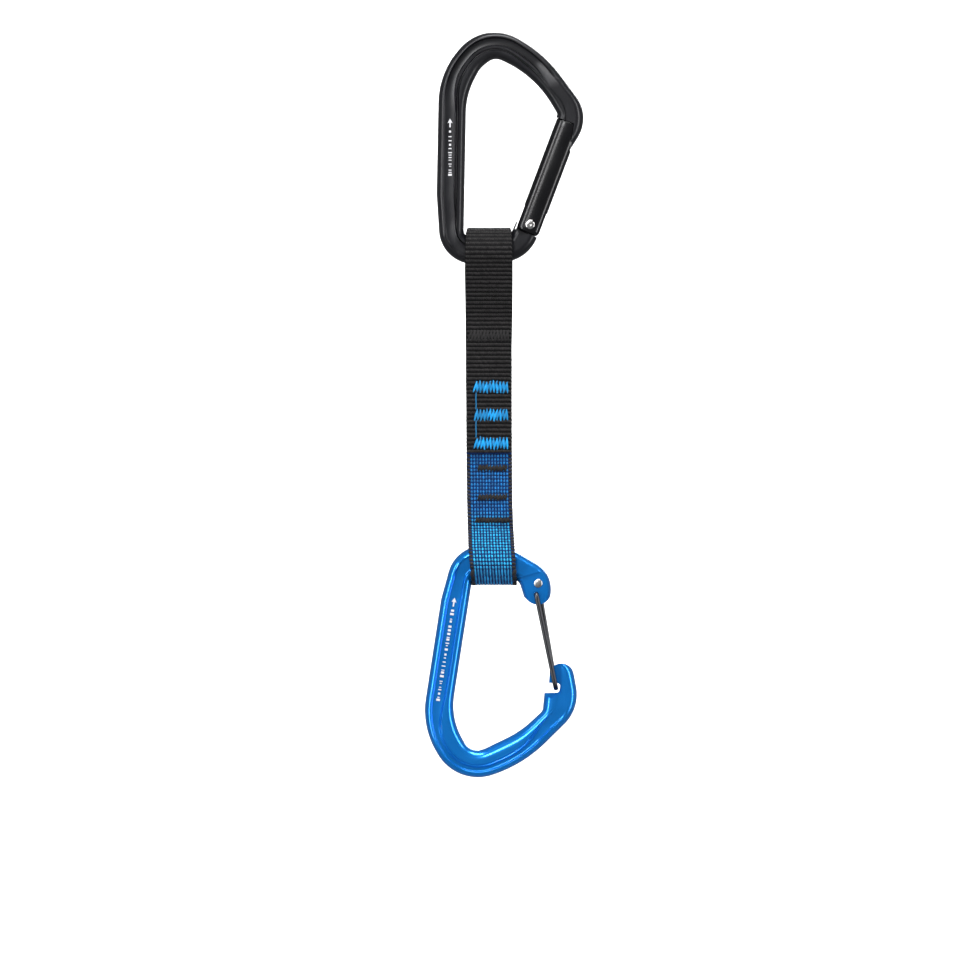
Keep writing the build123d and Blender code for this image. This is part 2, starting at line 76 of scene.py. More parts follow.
# Outlines, in millimetres: corner, and the radius that rounds it.
BOLT_OUTER = [
    ((-24.5, -5.5), 35.0), ((-4.5, 17.0), 20.0), ((20.5, 3.0), 55.0), ((41.0, -24.5), 16.0),
    ((31.2, -40.0), 8.5), ((14.0, -86.5), 16.5), ((-23.5, -89.0), 15.0), ((-25.5, -58.0), 14.5),
]
BOLT_INNER = [
    ((-12.7, -15.0), 33.0), ((-6.7, -3.8), 12.0), ((-0.7, 0.8), 5.4), ((16.3, -6.6), 46.0),
    ((26.4, -23.5), 1.6), ((9.3, -68.4), 1.6), ((5.4, -77.0), 4.0), ((-13.9, -77.2), 4.0),
]
# Places on the outside and on the inside that lie opposite each other.
BOLT_PAIRS = [
    ((-0.7, 11.7), (0.3, 0.0)), ((-16.1, 3.8), (-7.4, -5.2)), ((-24.4, -18.0), (-12.5, -19.0)),
    ((-25.3, -60.0), (-13.6, -60.0)), ((-22.8, -79.5), (-13.4, -74.5)), ((-13.0, -87.8), (-9.5, -77.1)),
    ((-4.0, -88.0), (-3.0, -77.0)), ((5.0, -87.2), (3.2, -76.8)), ((15.3, -81.0), (7.2, -73.4)),
    ((20.4, -69.0), (10.0, -66.5)), ((28.0, -48.5), (17.5, -47.0)), ((34.8, -34.4), (23.0, -32.5)),
    ((37.6, -24.5), (26.0, -23.8)), ((35.2, -17.4), (23.0, -17.9)), ((24.5, -2.9), (15.0, -8.2)),
    ((10.8, 8.7), (6.5, -2.6)),
]
ROPE_OUTER = [
    ((-20.1, -19.0), 19.5), ((-17.3, 6.6), 15.0), ((8.5, 6.3), 10.5), ((27.5, -1.0), 13.5),
    ((24.8, -19.5), 4.0), ((33.6, -36.2), 3.0), ((39.9, -37.6), 8.7), ((46.5, -56.0), 18.0),
    ((26.0, -84.0), 58.0), ((-0.6, -97.6), 20.0), ((-19.7, -74.5), 35.0),
]
ROPE_INNER = [
    ((-8.2, -5.6), 5.0), ((11.4, -5.4), 5.0), ((29.6, -42.0), 2.0), ((30.6, -59.5), 3.0),
    ((22.7, -69.7), 43.0), ((3.5, -83.2), 7.3), ((-7.8, -68.8), 29.0),
]
ROPE_PAIRS = [
    ((0.0, 6.5), (1.0, -5.6)), ((-12.0, 4.6), (-5.0, -5.6)), ((-19.0, -9.0), (-8.2, -11.0)),
    ((-20.1, -35.0), (-8.1, -35.0)), ((-19.7, -60.0), (-7.8, -58.0)), ((-15.5, -78.5), (-5.0, -71.5)),
    ((-6.5, -89.0), (0.0, -78.5)), ((4.0, -92.4), (5.0, -80.4)), ((16.0, -89.0), (12.0, -77.4)),
    ((27.5, -80.0), (21.0, -70.5)), ((37.0, -69.0), (28.0, -63.0)), ((43.8, -56.0), (30.6, -56.5)),
    ((43.2, -48.0), (30.0, -49.5)), ((39.0, -40.8), (29.5, -43.0)), ((28.5, -26.0), (22.5, -28.0)),
    ((22.9, -13.5), (15.3, -13.5)), ((23.7, -8.0), (13.2, -9.5)), ((17.0, 2.5), (9.8, -5.6)),
]
ROPE_AT = (-0.7, -216.2)
ROPE_TILT = math.radians(9.2)
LOBE_END = ((20.3, -8.9), 6.0)
NOSE_END = ((36.3, -43.9), 5.8)
FRONT_PIVOT = (19.9, -10.5)
BACK_PIVOT = (20.0, -5.8)
WIRE_END = (34.7, -49.0)

RIVET_AT = (14.6, -71.1)
GATE_TILT = math.radians(69.3)
GATE_TAIL = 3.9
GATE_REACH = 47.1
FINGER_START = 35.6
FINGER_ROOT = 2.3
FINGER_TIP = 4.7
PLAY = 0.3
SHUT_GAP = 0.12

BOLT_BAR_Z = -82.3
ROPE_BAR_Z = -215.9
UPPER_FOLD = 8.9
LOWER_FOLD = 9.2
UPPER_SPLIT = -110.0
LOWER_SPLIT = -201.8
FRONT_END = -169.0
BACK_END = -128.0
PLY_PITCH = 1.75

# Edges of the webbing seen from the front: height, left and right.
WEB_EDGES = [
    (-72.0, -12.2, 6.2), (-75.0, -12.9, 6.8), (-80.0, -13.2, 7.0), (-92.0, -13.3, 7.1), (-109.0, -13.0, 7.0),
    (-124.0, -12.9, 6.7), (-150.0, -12.7, 6.7), (-175.0, -12.5, 6.8), (-190.0, -12.3, 6.9),
    (-201.0, -12.0, 7.3), (-210.0, -11.7, 7.9), (-218.0, -11.0, 8.4), (-228.0, -9.9, 8.9),
]


# ------------------------------------------------------------ plane geometry


def rounded_outline(corners, step=0.4, closed=True):
    """Points along an outline whose corners are rounded by arcs."""
    count = len(corners)
    points = []
    for index, (corner, radius) in enumerate(corners):
        here = Vector(corner)
        if not closed and index in (0, count - 1):
            points.append(here)
            continue
        back = (Vector(corners[index - 1][0]) - here).normalized()
        ahead = (Vector(corners[(index + 1) % count][0]) - here).normalized()
        angle = back.angle(ahead)
        middle = here + (back + ahead).normalized() * (radius / math.sin(angle / 2))
        first = here + back * (radius / math.tan(angle / 2)) - middle
        turn = back.y * ahead.x - back.x * ahead.y
        sweep = math.copysign(math.pi - angle, turn)
        pieces = max(3, int(radius * abs(sweep) / step))
        for k in range(pieces + 1):
            a = sweep * k / pieces
            c, s = math.cos(a), math.sin(a)
            points.append(middle + Vector((first.x * c - first.y * s, first.x * s + first.y * c)))
    return points


class Path:
    """A line of points with its running length."""

    def __init__(self, points, closed=False):
        self.points = points + [points[0]] if closed else points
        self.lengths = [0.0]
        for a, b in zip(self.points, self.points[1:]):
            self.lengths.append(self.lengths[-1] + (b - a).length)
        self.total = self.lengths[-1]
        self.closed = closed

    def at(self, length):
        """Point at a running length."""
        if self.closed:
            length %= self.total
        low, high = 0, len(self.lengths) - 1
        while high - low > 1:
            mid = (low + high) // 2
            if self.lengths[mid] <= length:
                low = mid
            else:
                high = mid
        span = max(self.lengths[high] - self.lengths[low], 1e-9)
        return self.points[low].lerp(self.points[high], (length - self.lengths[low]) / span)

    def nearest(self, point):
        """Running length of the place nearest to a point."""
        best, found = 1e9, 0.0
        for i, (a, b) in enumerate(zip(self.points, self.points[1:])):
            d = b - a
            t = min(1.0, max(0.0, (point - a).dot(d) / max(d.dot(d), 1e-12)))
            gap = (a + d * t - point).length
            if gap < best:
                best, found = gap, self.lengths[i] + t * d.length
        return found


def between(value, table):
    """Straight-line reading of a table of (key, number, ...) rows, keys rising."""
    if value <= table[0][0]:
        return table[0][1:]
    for a, b in zip(table, table[1:]):
        if value <= b[0]:
            t = (value - a[0]) / (b[0] - a[0])
            return tuple(x + (y - x) * t for x, y in zip(a[1:], b[1:]))
    return table[-1][1:]


def ease(low, high, value):
    """0 below low, 1 above high, smooth between."""
    t = min(1.0, max(0.0, (value - low) / (high - low)))
    return t * t * (3 - 2 * t)


def arc(middle, radius, start, stop, pieces=12):
    """Points of an arc, angles in degrees."""
    result = []
    for k in range(pieces + 1):
        a = math.radians(start + (stop - start) * k / pieces)
        result.append((middle[0] + radius * math.cos(a), middle[1] + radius * math.sin(a)))
    return result


def gate_gap():
    """Outline of the gap that the wire gate closes: round the lobe, then round the nose."""
    return [(10.0, -30.0), (14.2, -12.0), *arc(*LOBE_END, -125, -4), (50.0, -9.3), (50.0, -41.0),
            *arc(*NOSE_END, 30, 158), (31.4, -47.2), (26.0, -48.0)]


def on_rope(point):
    """Point of the upright rope carabiner drawing, in the hanging position."""
    c, s = math.cos(ROPE_TILT), math.sin(ROPE_TILT)
    return Vector((ROPE_AT[0] + c * point[0] + s * point[1], ROPE_AT[1] - s * point[0] + c * point[1]))


def on_bolt(point):
    """Point of the bolt carabiner drawing."""
    return Vector(point)


def along_gate(along, across):
    """Point along the gate axis from the rivet, and across it to the outside."""
    c, s = math.cos(GATE_TILT), math.sin(GATE_TILT)
    return Vector((RIVET_AT[0] + along * c + across * s, RIVET_AT[1] + along * s - across * c))


# ----------------------------------------------------------------- mesh kit


def mesh_object(name, verts, faces, crease=35.0):
    """A smooth-shaded object from millimetre points, lying at the origin."""
    mesh = bpy.data.meshes.new(name)
    mesh.from_pydata([Vector(v) * MM for v in verts], [], faces)
    mesh.validate()
    mesh.update()
    obj = bpy.data.objects.new(name, mesh)
    bpy.context.scene.collection.objects.link(obj)
    soften(obj, crease)
    return obj


def soften(obj, crease):
    """Smooth shading with sharp edges above an angle."""
    obj.data.shade_smooth()
    obj.data.set_sharp_from_angle(angle=math.radians(crease))


def bake_down(obj):
    """Turn an object's modifiers into plain mesh."""
    depsgraph = bpy.context.evaluated_depsgraph_get()
    mesh = bpy.data.meshes.new_from_object(obj.evaluated_get(depsgraph), depsgraph=depsgraph)
    obj.modifiers.clear()
    old = obj.data
    obj.data = mesh
    mesh.name = obj.name
    if old.users == 0:
        bpy.data.meshes.remove(old)


def carve(obj, tools, operation="DIFFERENCE"):
    """Cut tools out of a piece, or weld them to it, and remove the tools."""
    for tool in tools:
        step = obj.modifiers.new(tool.name, "BOOLEAN")
        step.operation = operation
        step.solver = "MANIFOLD"
        step.object = tool
    bake_down(obj)
    for tool in tools:
        mesh = tool.data
        bpy.data.objects.remove(tool)
        bpy.data.meshes.remove(mesh)


def prism(name, outline, low, high):
    """Closed straight block over an outline in the X-Z plane."""
    count = len(outline)
    area = sum(a.x * b.y - b.x * a.y for a, b in zip(outline, outline[1:] + outline[:1]))
    if area < 0:
        outline = outline[::-1]
    verts = [(p.x, low, p.y) for p in outline] + [(p.x, high, p.y) for p in outline]
    faces = [tuple(range(count)), tuple(reversed(range(count, 2 * count)))]
    for i in range(count):
        j = (i + 1) % count
        faces.append((j, i, i + count, j + count))
    return mesh_object(name, verts, faces, 30)


def rod(name, centre, axis, radius, length, sides=32):
    """Closed straight cylinder from a point along an axis."""
    axis = Vector(axis).normalized()
    side = axis.orthogonal().normalized()
    other = axis.cross(side)
    verts = []
    for end in (0.0, length):
        for k in range(sides):
            a = 2 * math.pi * k / sides
            verts.append(Vector(centre) + axis * end + (side * math.cos(a) + other * math.sin(a)) * radius)
    faces = [tuple(reversed(range(sides))), tuple(range(sides, 2 * sides))]
    for k in range(sides):
        j = (k + 1) % sides
        faces.append((k, j, j + sides, k + sides))
    return mesh_object(name, verts, faces, 30)


def turned_piece(name, centre, axis, profile, sides=40):
    """Round piece from (distance along the axis, radius) pairs; closed at both ends."""
    axis = Vector(axis).normalized()
    side = axis.orthogonal().normalized()
    other = axis.cross(side)
    verts = []
    for along, radius in profile:
        for k in range(sides):
            a = 2 * math.pi * k / sides
            verts.append(Vector(centre) + axis * along + (side * math.cos(a) + other * math.sin(a)) * radius)
    faces = [tuple(reversed(range(sides)))]
    for r in range(len(profile) - 1):
        for k in range(sides):
            j = (k + 1) % sides
            faces.append((r * sides + k, r * sides + j, (r + 1) * sides + j, (r + 1) * sides + k))
    faces.append(tuple(range((len(profile) - 1) * sides, len(profile) * sides)))
    return mesh_object(name, verts, faces, 28)


def tube(name, points, radius, sides=14):
    """Closed round tube along a line of points."""
    points = [Vector(p) for p in points]
    count = len(points)
    tangents = []
    for i in range(count):
        a = points[max(0, i - 1)]
        b = points[min(count - 1, i + 1)]
        tangents.append((b - a).normalized())
    side = tangents[0].orthogonal().normalized()
    verts = []
    for i in range(count):
        side = (side - tangents[i] * side.dot(tangents[i])).normalized()
        other = tangents[i].cross(side)
        for k in range(sides):
            a = 2 * math.pi * k / sides
            verts.append(points[i] + (side * math.cos(a) + other * math.sin(a)) * radius)
    faces = [tuple(reversed(range(sides)))]
    for i in range(count - 1):
        for k in range(sides):
            j = (k + 1) % sides
            faces.append((i * sides + k, i * sides + j, (i + 1) * sides + j, (i + 1) * sides + k))
    faces.append(tuple(range((count - 1) * sides, count * sides)))
    return mesh_object(name, verts, faces, 50)


def join(name, objects):
    """Put several pieces into one mesh."""
    verts, faces = [], []
    for obj in objects:
        start = len(verts)
        verts += [v.co / MM for v in obj.data.vertices]
        faces += [tuple(start + i for i in f.vertices) for f in obj.data.polygons]
    for obj in objects:
        mesh = obj.data
        bpy.data.objects.remove(obj)
        bpy.data.meshes.remove(mesh)
    return mesh_object(name, verts, faces)


# ------------------------------------------------------- forged ring section


def matched_stations(outer, inner, pairs, spacing):
    """Pairs of opposite points all around a ring."""
    keys = []
    for outside, inside in pairs:
        keys.append((outer.nearest(Vector(outside)), inner.nearest(Vector(inside))))
    keys.sort()
    first_in = keys[0][1]
    rising = (keys[1][1] - first_in) % inner.total < inner.total / 2
    table = []
    for s, t in keys:
        gone = (t - first_in) % inner.total if rising else (first_in - t) % inner.total
        table.append((s, gone))
    table.append((table[0][0] + outer.total, inner.total))
    table.insert(0, (table[-2][0] - outer.total, table[-2][1] - inner.total))
    count = int(outer.total / spacing)
    found = []
    for i in range(count):
        s = table[1][0] + outer.total * i / count
        # average the table over a short stretch, so that the pairing turns softly
        total = 0.0
        for k in range(-4, 5):
            probe = s + k * 0.9
            if probe > table[-1][0]:
                gone = between(probe - outer.total, table)[0] + inner.total
            else:
                gone = between(probe, table)[0]
            total += gone
        gone = total / 9
        t = first_in + gone if rising else first_in - gone
        found.append((outer.at(s), inner.at(t)))
    return found


def section_line(width, half, look):
    """Half section from the outside edge to the inside edge: (distance, height)."""
    outer_round, inner_round = look["outer_round"], look["inner_round"]
    marks = [outer_round * (1 - math.cos(math.pi / 2 * k / 6)) for k in range(1, 7)]
    stops = [
        (outer_round, look["panel_from"] - 0.3, 2), (look["panel_from"] - 0.3, look["panel_from"] + 0.4, 5),
        (look["panel_from"] + 0.4, look["panel_to"] - 0.4, 7), (look["panel_to"] - 0.4, look["panel_to"] + 0.3, 5),
        (look["panel_to"] + 0.3, look["groove_from"] + 0.05, 2), (look["groove_from"] + 0.05, look["groove_to"], 7),
    ]
    for low, high, count in stops:
        marks += [low + (high - low) * k / count for k in range(1, count + 1)]
    low = look["groove_to"]
    marks += [low + (width - low) * math.sin(math.pi / 2 * k / 11) for k in range(1, 11)]
    middle = (look["panel_from"] + look["panel_to"]) / 2
    reach = max((look["panel_to"] - look["panel_from"]) / 2, 0.2)
    line = []
    for a in marks:
        b = width - a
        height = 1.0
        if a < outer_round:
            height *= math.sqrt(max(0.0, 1 - (1 - a / outer_round) ** 2))
        if b < inner_round:
            height *= math.sqrt(max(0.0, 1 - (1 - b / inner_round) ** 2.3))
        y = half * height
        sunk = ease(look["panel_from"] - 0.3, look["panel_from"] + 0.4, a)
        sunk *= 1 - ease(look["panel_to"] - 0.4, look["panel_to"] + 0.3, a)
        y -= look["panel_depth"] * sunk
        y -= look["hollow"] * sunk * max(0.0, 1 - ((a - middle) / reach) ** 2)
        third = (look["groove_to"] - look["groove_from"]) / 3
        cut = ease(look["groove_from"], look["groove_from"] + third, a)
        cut *= 1 - ease(look["groove_to"] - third, look["groove_to"], a)
        y -= look["groove_depth"] * cut
        line.append((a, y))
    return line


def mixed(first, second, share):
    """Look between two looks."""
    return {key: first[key] + (second[key] - first[key]) * share for key in first}


def forged_ring(name, drawing, place, half, look_of, spacing=0.75):
    """Closed ring whose section changes along the way."""
    outer_corners, inner_corners, pairs = drawing
    outer = Path(rounded_outline(outer_corners), closed=True)
    inner = Path(rounded_outline(inner_corners), closed=True)
    verts, rings = [], []
    for outside, inside in matched_stations(outer, inner, pairs, spacing):
        width = (inside - outside).length
        along = (inside - outside) / width
        line = section_line(width, half, look_of(outside, width))
        ring = [(0.0, 0.0)] + [(a, -y) for a, y in line] + [(width, 0.0)] + [(a, y) for a, y in reversed(line)]
        rings.append((len(verts), len(ring)))
        for a, y in ring:
            flat = place(outside + along * a)
            verts.append((flat.x, y, flat.y))
    faces = []
    for i, (start, count) in enumerate(rings):
        after = rings[(i + 1) % len(rings)][0]
        for k in range(count):
            j = (k + 1) % count
            faces.append((start + k, start + j, after + j, after + k))
    obj = mesh_object(name, verts, faces, 60)
    if sum(p.normal.dot(p.center) * p.area for p in obj.data.polygons) < 0:
        obj.data.flip_normals()
    return obj


# ---------------------------------------------------------------- materials


class Nodes:
    """Short hand for laying out a node tree."""

    def __init__(self, tree):
        self.tree = tree
        self.count = 0

    def add(self, kind, **settings):
        node = self.tree.nodes.new(kind)
        node.location = (-1400 + 190 * (self.count % 8), 300 - 220 * (self.count // 8))
        self.count += 1
        for key, value in settings.items():
            setattr(node, key, value)
        return node

    def link(self, source, target):
        self.tree.links.new(source, target)
        return target

    def maths(self, operation, first, second=None):
        node = self.add("ShaderNodeMath", operation=operation)
        for socket, value in zip(node.inputs, (first, second)):
            if isinstance(value, bpy.types.NodeSocket):
                self.link(value, socket)
            elif value is not None:
                socket.default_value = value
        return node.outputs[0]


def in_out(tree, inputs, outputs):
    """Named sockets of a node group."""
    for name, kind, default in inputs:
        socket = tree.interface.new_socket(name, in_out="INPUT", socket_type=kind)
        if default is not None:
            socket.default_value = default
    for name, kind in outputs:
        tree.interface.new_socket(name, in_out="OUTPUT", socket_type=kind)


def handling_marks():
    """Shader group: soft blotches and fine scratches left by use, as a mask and a height."""
    if "handling marks" in bpy.data.node_groups:
        return bpy.data.node_groups["handling marks"]
    tree = bpy.data.node_groups.new("handling marks", "ShaderNodeTree")
    number = "NodeSocketFloat"
    in_out(
        tree,
        [("Blotch Scale", number, 60.0), ("Scratch Scale", number, 400.0), ("Scratches", number, 0.3)],
        [("Mask", number), ("Scratch", number), ("Height", number)],
    )
    kit = Nodes(tree)
    start, end = kit.add("NodeGroupInput"), kit.add("NodeGroupOutput")
    place = kit.add("ShaderNodeTexCoord")
    blotch = kit.add("ShaderNodeTexNoise")
    blotch.inputs["Detail"].default_value = 4
    kit.link(place.outputs["Object"], blotch.inputs["Vector"])
    kit.link(start.outputs["Blotch Scale"], blotch.inputs["Scale"])
    stretch = kit.add("ShaderNodeMapping")
    stretch.inputs["Scale"].default_value = (1.0, 1.0, 0.06)
    stretch.inputs["Rotation"].default_value = (0.2, 0.5, 0.3)
    kit.link(place.outputs["Object"], stretch.inputs["Vector"])
    scratch = kit.add("ShaderNodeTexNoise")
    scratch.inputs["Detail"].default_value = 6
    kit.link(stretch.outputs["Vector"], scratch.inputs["Vector"])
    kit.link(start.outputs["Scratch Scale"], scratch.inputs["Scale"])
    thin = kit.add("ShaderNodeMapRange", interpolation_type="SMOOTHSTEP")
    thin.inputs["From Min"].default_value = 0.6
    thin.inputs["From Max"].default_value = 0.74
    kit.link(scratch.outputs[0], thin.inputs["Value"])
    lines = kit.maths("MULTIPLY", thin.outputs[0], start.outputs["Scratches"])
    kit.link(blotch.outputs[0], end.inputs["Mask"])
    kit.link(lines, end.inputs["Scratch"])
    kit.link(kit.maths("SUBTRACT", blotch.outputs[0], lines), end.inputs["Height"])
    return tree


def grain():
    """Shader group: fine even grain, as a value and a height."""
    if "fine grain" in bpy.data.node_groups:
        return bpy.data.node_groups["fine grain"]
    tree = bpy.data.node_groups.new("fine grain", "ShaderNodeTree")
    number = "NodeSocketFloat"
    takes = [("Scale", number, 3000.0), ("Roughness", number, 0.6)]
    in_out(tree, takes, [("Value", number), ("Height", number)])
    kit = Nodes(tree)
    start, end = kit.add("NodeGroupInput"), kit.add("NodeGroupOutput")
    place = kit.add("ShaderNodeTexCoord")
    noise = kit.add("ShaderNodeTexNoise")
    noise.inputs["Detail"].default_value = 3
    kit.link(place.outputs["Object"], noise.inputs["Vector"])
    kit.link(start.outputs["Scale"], noise.inputs["Scale"])
    kit.link(start.outputs["Roughness"], noise.inputs["Roughness"])
    kit.link(noise.outputs[0], end.inputs["Value"])
    kit.link(noise.outputs[0], end.inputs["Height"])
    return tree


def new_material(name):
    """Empty node material with its shader."""
    material = bpy.data.materials.new(name)
    material.use_nodes = True
    kit = Nodes(material.node_tree)
    shader = material.node_tree.nodes["Principled BSDF"]
    return material, kit, shader


def blend_colours(kit, factor, first, second):
    """Colour between two colours, by a factor socket."""
    mix = kit.add("ShaderNodeMix", data_type="RGBA")
    kit.link(factor, mix.inputs[0])
    for socket, value in ((mix.inputs[6], first), (mix.inputs[7], second)):
        if isinstance(value, bpy.types.NodeSocket):
            kit.link(value, socket)
        else:
            socket.default_value = (*value[:3], 1.0)
    return mix.outputs[2]


def metal(name, colour, worn, rough, metallic=1.0, coat=0.0, scratches=0.3, grain_scale=2500.0, bump=0.00002):
    """Anodised or polished metal with handling marks and a fine grain."""
    material, kit, shader = new_material(name)
    marks = kit.add("ShaderNodeGroup", node_tree=handling_marks())
    marks.inputs["Blotch Scale"].default_value = 70.0
    marks.inputs["Scratch Scale"].default_value = 900.0
    marks.inputs["Scratches"].default_value = scratches
    fine = kit.add("ShaderNodeGroup", node_tree=grain())
    fine.inputs["Scale"].default_value = grain_scale
    share = kit.maths("ADD", kit.maths("MULTIPLY", marks.outputs["Mask"], 0.25), marks.outputs["Scratch"])
    kit.link(blend_colours(kit, share, colour, worn), shader.inputs["Base Color"])
    spread = kit.maths("MULTIPLY", marks.outputs["Mask"], 0.16)
    level = kit.maths("ADD", spread, rough - 0.08)
    kit.link(kit.maths("ADD", level, kit.maths("MULTIPLY", fine.outputs["Value"], 0.05)), shader.inputs["Roughness"])
    height = kit.maths("ADD", kit.maths("MULTIPLY", marks.outputs["Height"], 0.5), fine.outputs["Height"])
    lumps = kit.add("ShaderNodeBump")
    lumps.inputs["Distance"].default_value = bump
    lumps.inputs["Strength"].default_value = 0.6
    kit.link(height, lumps.inputs["Height"])
    kit.link(lumps.outputs[0], shader.inputs["Normal"])
    shader.inputs["Metallic"].default_value = metallic
    if coat:
        shader.inputs["Coat Weight"].default_value = coat
        shader.inputs["Coat Roughness"].default_value = 0.06
    return material


def yarn_material(name, dark, light, low=None, high=None, rough=0.55):
    """Twisted yarn: each float has its own tone, and fine fibres run over it. Given a height range, a ramp over height
    multiplies in a painted highlight band, darker above and below it.
    """
    material, kit, shader = new_material(name)
    tone = kit.add("ShaderNodeAttribute", attribute_name="tone")
    fibres = kit.add("ShaderNodeGroup", node_tree=grain())
    fibres.inputs["Scale"].default_value = 5200.0
    share = kit.maths(
        "ADD",
        kit.maths("MULTIPLY", tone.outputs["Fac"], 0.7),
        kit.maths("MULTIPLY", fibres.outputs["Value"], 0.35),
    )
    colour = blend_colours(kit, share, dark, light)
    # Painted highlight: the colour is multiplied by a ramp over Object Z height, full bright from about -0.215 to
    # -0.203 m round the lower fold and darker above and below it.
    if low:
        place = kit.add("ShaderNodeTexCoord")
        split = kit.add("ShaderNodeSeparateXYZ")
        kit.link(place.outputs["Object"], split.inputs[0])
        ramp = kit.add("ShaderNodeValToRGB")
        level = kit.add("ShaderNodeMapRange")
        level.inputs["From Min"].default_value = low
        level.inputs["From Max"].default_value = high
        kit.link(split.outputs["Z"], level.inputs["Value"])
        kit.link(level.outputs[0], ramp.inputs[0])
        stops = [
            (0.0, (0.2, 0.3, 0.45)), (0.14, (0.3, 0.5, 0.6)), (0.22, (1.0, 1.0, 1.0)), (0.4, (1.0, 0.95, 0.95)),
            (0.55, (0.1, 0.4, 0.62)), (1.0, (0.1, 0.38, 0.6)),
        ]
        while len(ramp.color_ramp.elements) < len(stops):
            ramp.color_ramp.elements.new(0.5)
        for element, (position, value) in zip(ramp.color_ramp.elements, stops):
            element.position = position
            element.color = (*value, 1.0)
        painted_light_mix = kit.add("ShaderNodeMix", data_type="RGBA", blend_type="MULTIPLY")
        painted_light_mix.inputs[0].default_value = 1.0
        kit.link(colour, painted_light_mix.inputs[6])
        kit.link(ramp.outputs[0], painted_light_mix.inputs[7])
        colour = painted_light_mix.outputs[2]
    kit.link(colour, shader.inputs["Base Color"])
    dull = kit.maths("ADD", kit.maths("MULTIPLY", fibres.outputs["Value"], 0.25), rough - 0.12)
    kit.link(dull, shader.inputs["Roughness"])
    lumps = kit.add("ShaderNodeBump")
    lumps.inputs["Distance"].default_value = 0.00008
    kit.link(fibres.outputs["Height"], lumps.inputs["Height"])
    kit.link(lumps.outputs[0], shader.inputs["Normal"])
    shader.inputs["Specular IOR Level"].default_value = 0.3
    return material


def ground_material(name, dark, light):
    """Ground of the webbing under the floats, ribbed across by its own coordinates."""
    material, kit, shader = new_material(name)
    place = kit.add("ShaderNodeUVMap", uv_map="strip")
    ribs = kit.add("ShaderNodeTexWave", wave_type="BANDS", bands_direction="Y")
    ribs.inputs["Scale"].default_value = 175.0
    ribs.inputs["Distortion"].default_value = 0.6
    kit.link(place.outputs[0], ribs.inputs["Vector"])
    side = kit.add("ShaderNodeAttribute", attribute_name="blue_side")
    fine = kit.add("ShaderNodeGroup", node_tree=grain())
    fine.inputs["Scale"].default_value = 3500.0
    colour = blend_colours(kit, side.outputs["Fac"], dark, light)
    shade = kit.maths(
        "ADD",
        kit.maths("MULTIPLY", fine.outputs["Value"], 0.6),
        kit.maths("MULTIPLY", ribs.outputs[0], 0.3),
    )
    # The ground is mixed towards near black in a pattern of grain and rib bands. The bands are the ground's ribs, and
    # the darkness is painted shade for the gaps between the floats.
    kit.link(blend_colours(kit, shade, (0.001, 0.001, 0.0015), colour), shader.inputs["Base Color"])
    kit.link(kit.maths("ADD", kit.maths("MULTIPLY", fine.outputs["Value"], 0.3), 0.55), shader.inputs["Roughness"])
    shader.inputs["Specular IOR Level"].default_value = 0.15
    lumps = kit.add("ShaderNodeBump")
    lumps.inputs["Distance"].default_value = 0.0002
    kit.link(shade, lumps.inputs["Height"])
    kit.link(lumps.outputs[0], shader.inputs["Normal"])
    return material


def rubber_material(name, colour):
    """Matt moulded rubber."""
    material, kit, shader = new_material(name)
    fine = kit.add("ShaderNodeGroup", node_tree=grain())
    fine.inputs["Scale"].default_value = 1800.0
    lighter = tuple(min(1.0, c * 2.2 + 0.01) for c in colour[:3])
    kit.link(blend_colours(kit, fine.outputs["Value"], colour, lighter), shader.inputs["Base Color"])
    kit.link(kit.maths("ADD", kit.maths("MULTIPLY", fine.outputs["Value"], 0.3), 0.5), shader.inputs["Roughness"])
    lumps = kit.add("ShaderNodeBump")
    lumps.inputs["Distance"].default_value = 0.00006
    kit.link(fine.outputs["Height"], lumps.inputs["Height"])
    kit.link(lumps.outputs[0], shader.inputs["Normal"])
    return material


def painted(obj, *materials):
    """Give a piece its materials."""
    obj.data.materials.clear()
    for material in materials:
        obj.data.materials.append(material)
    return obj


# --------------------------------------------------------------- laid yarns


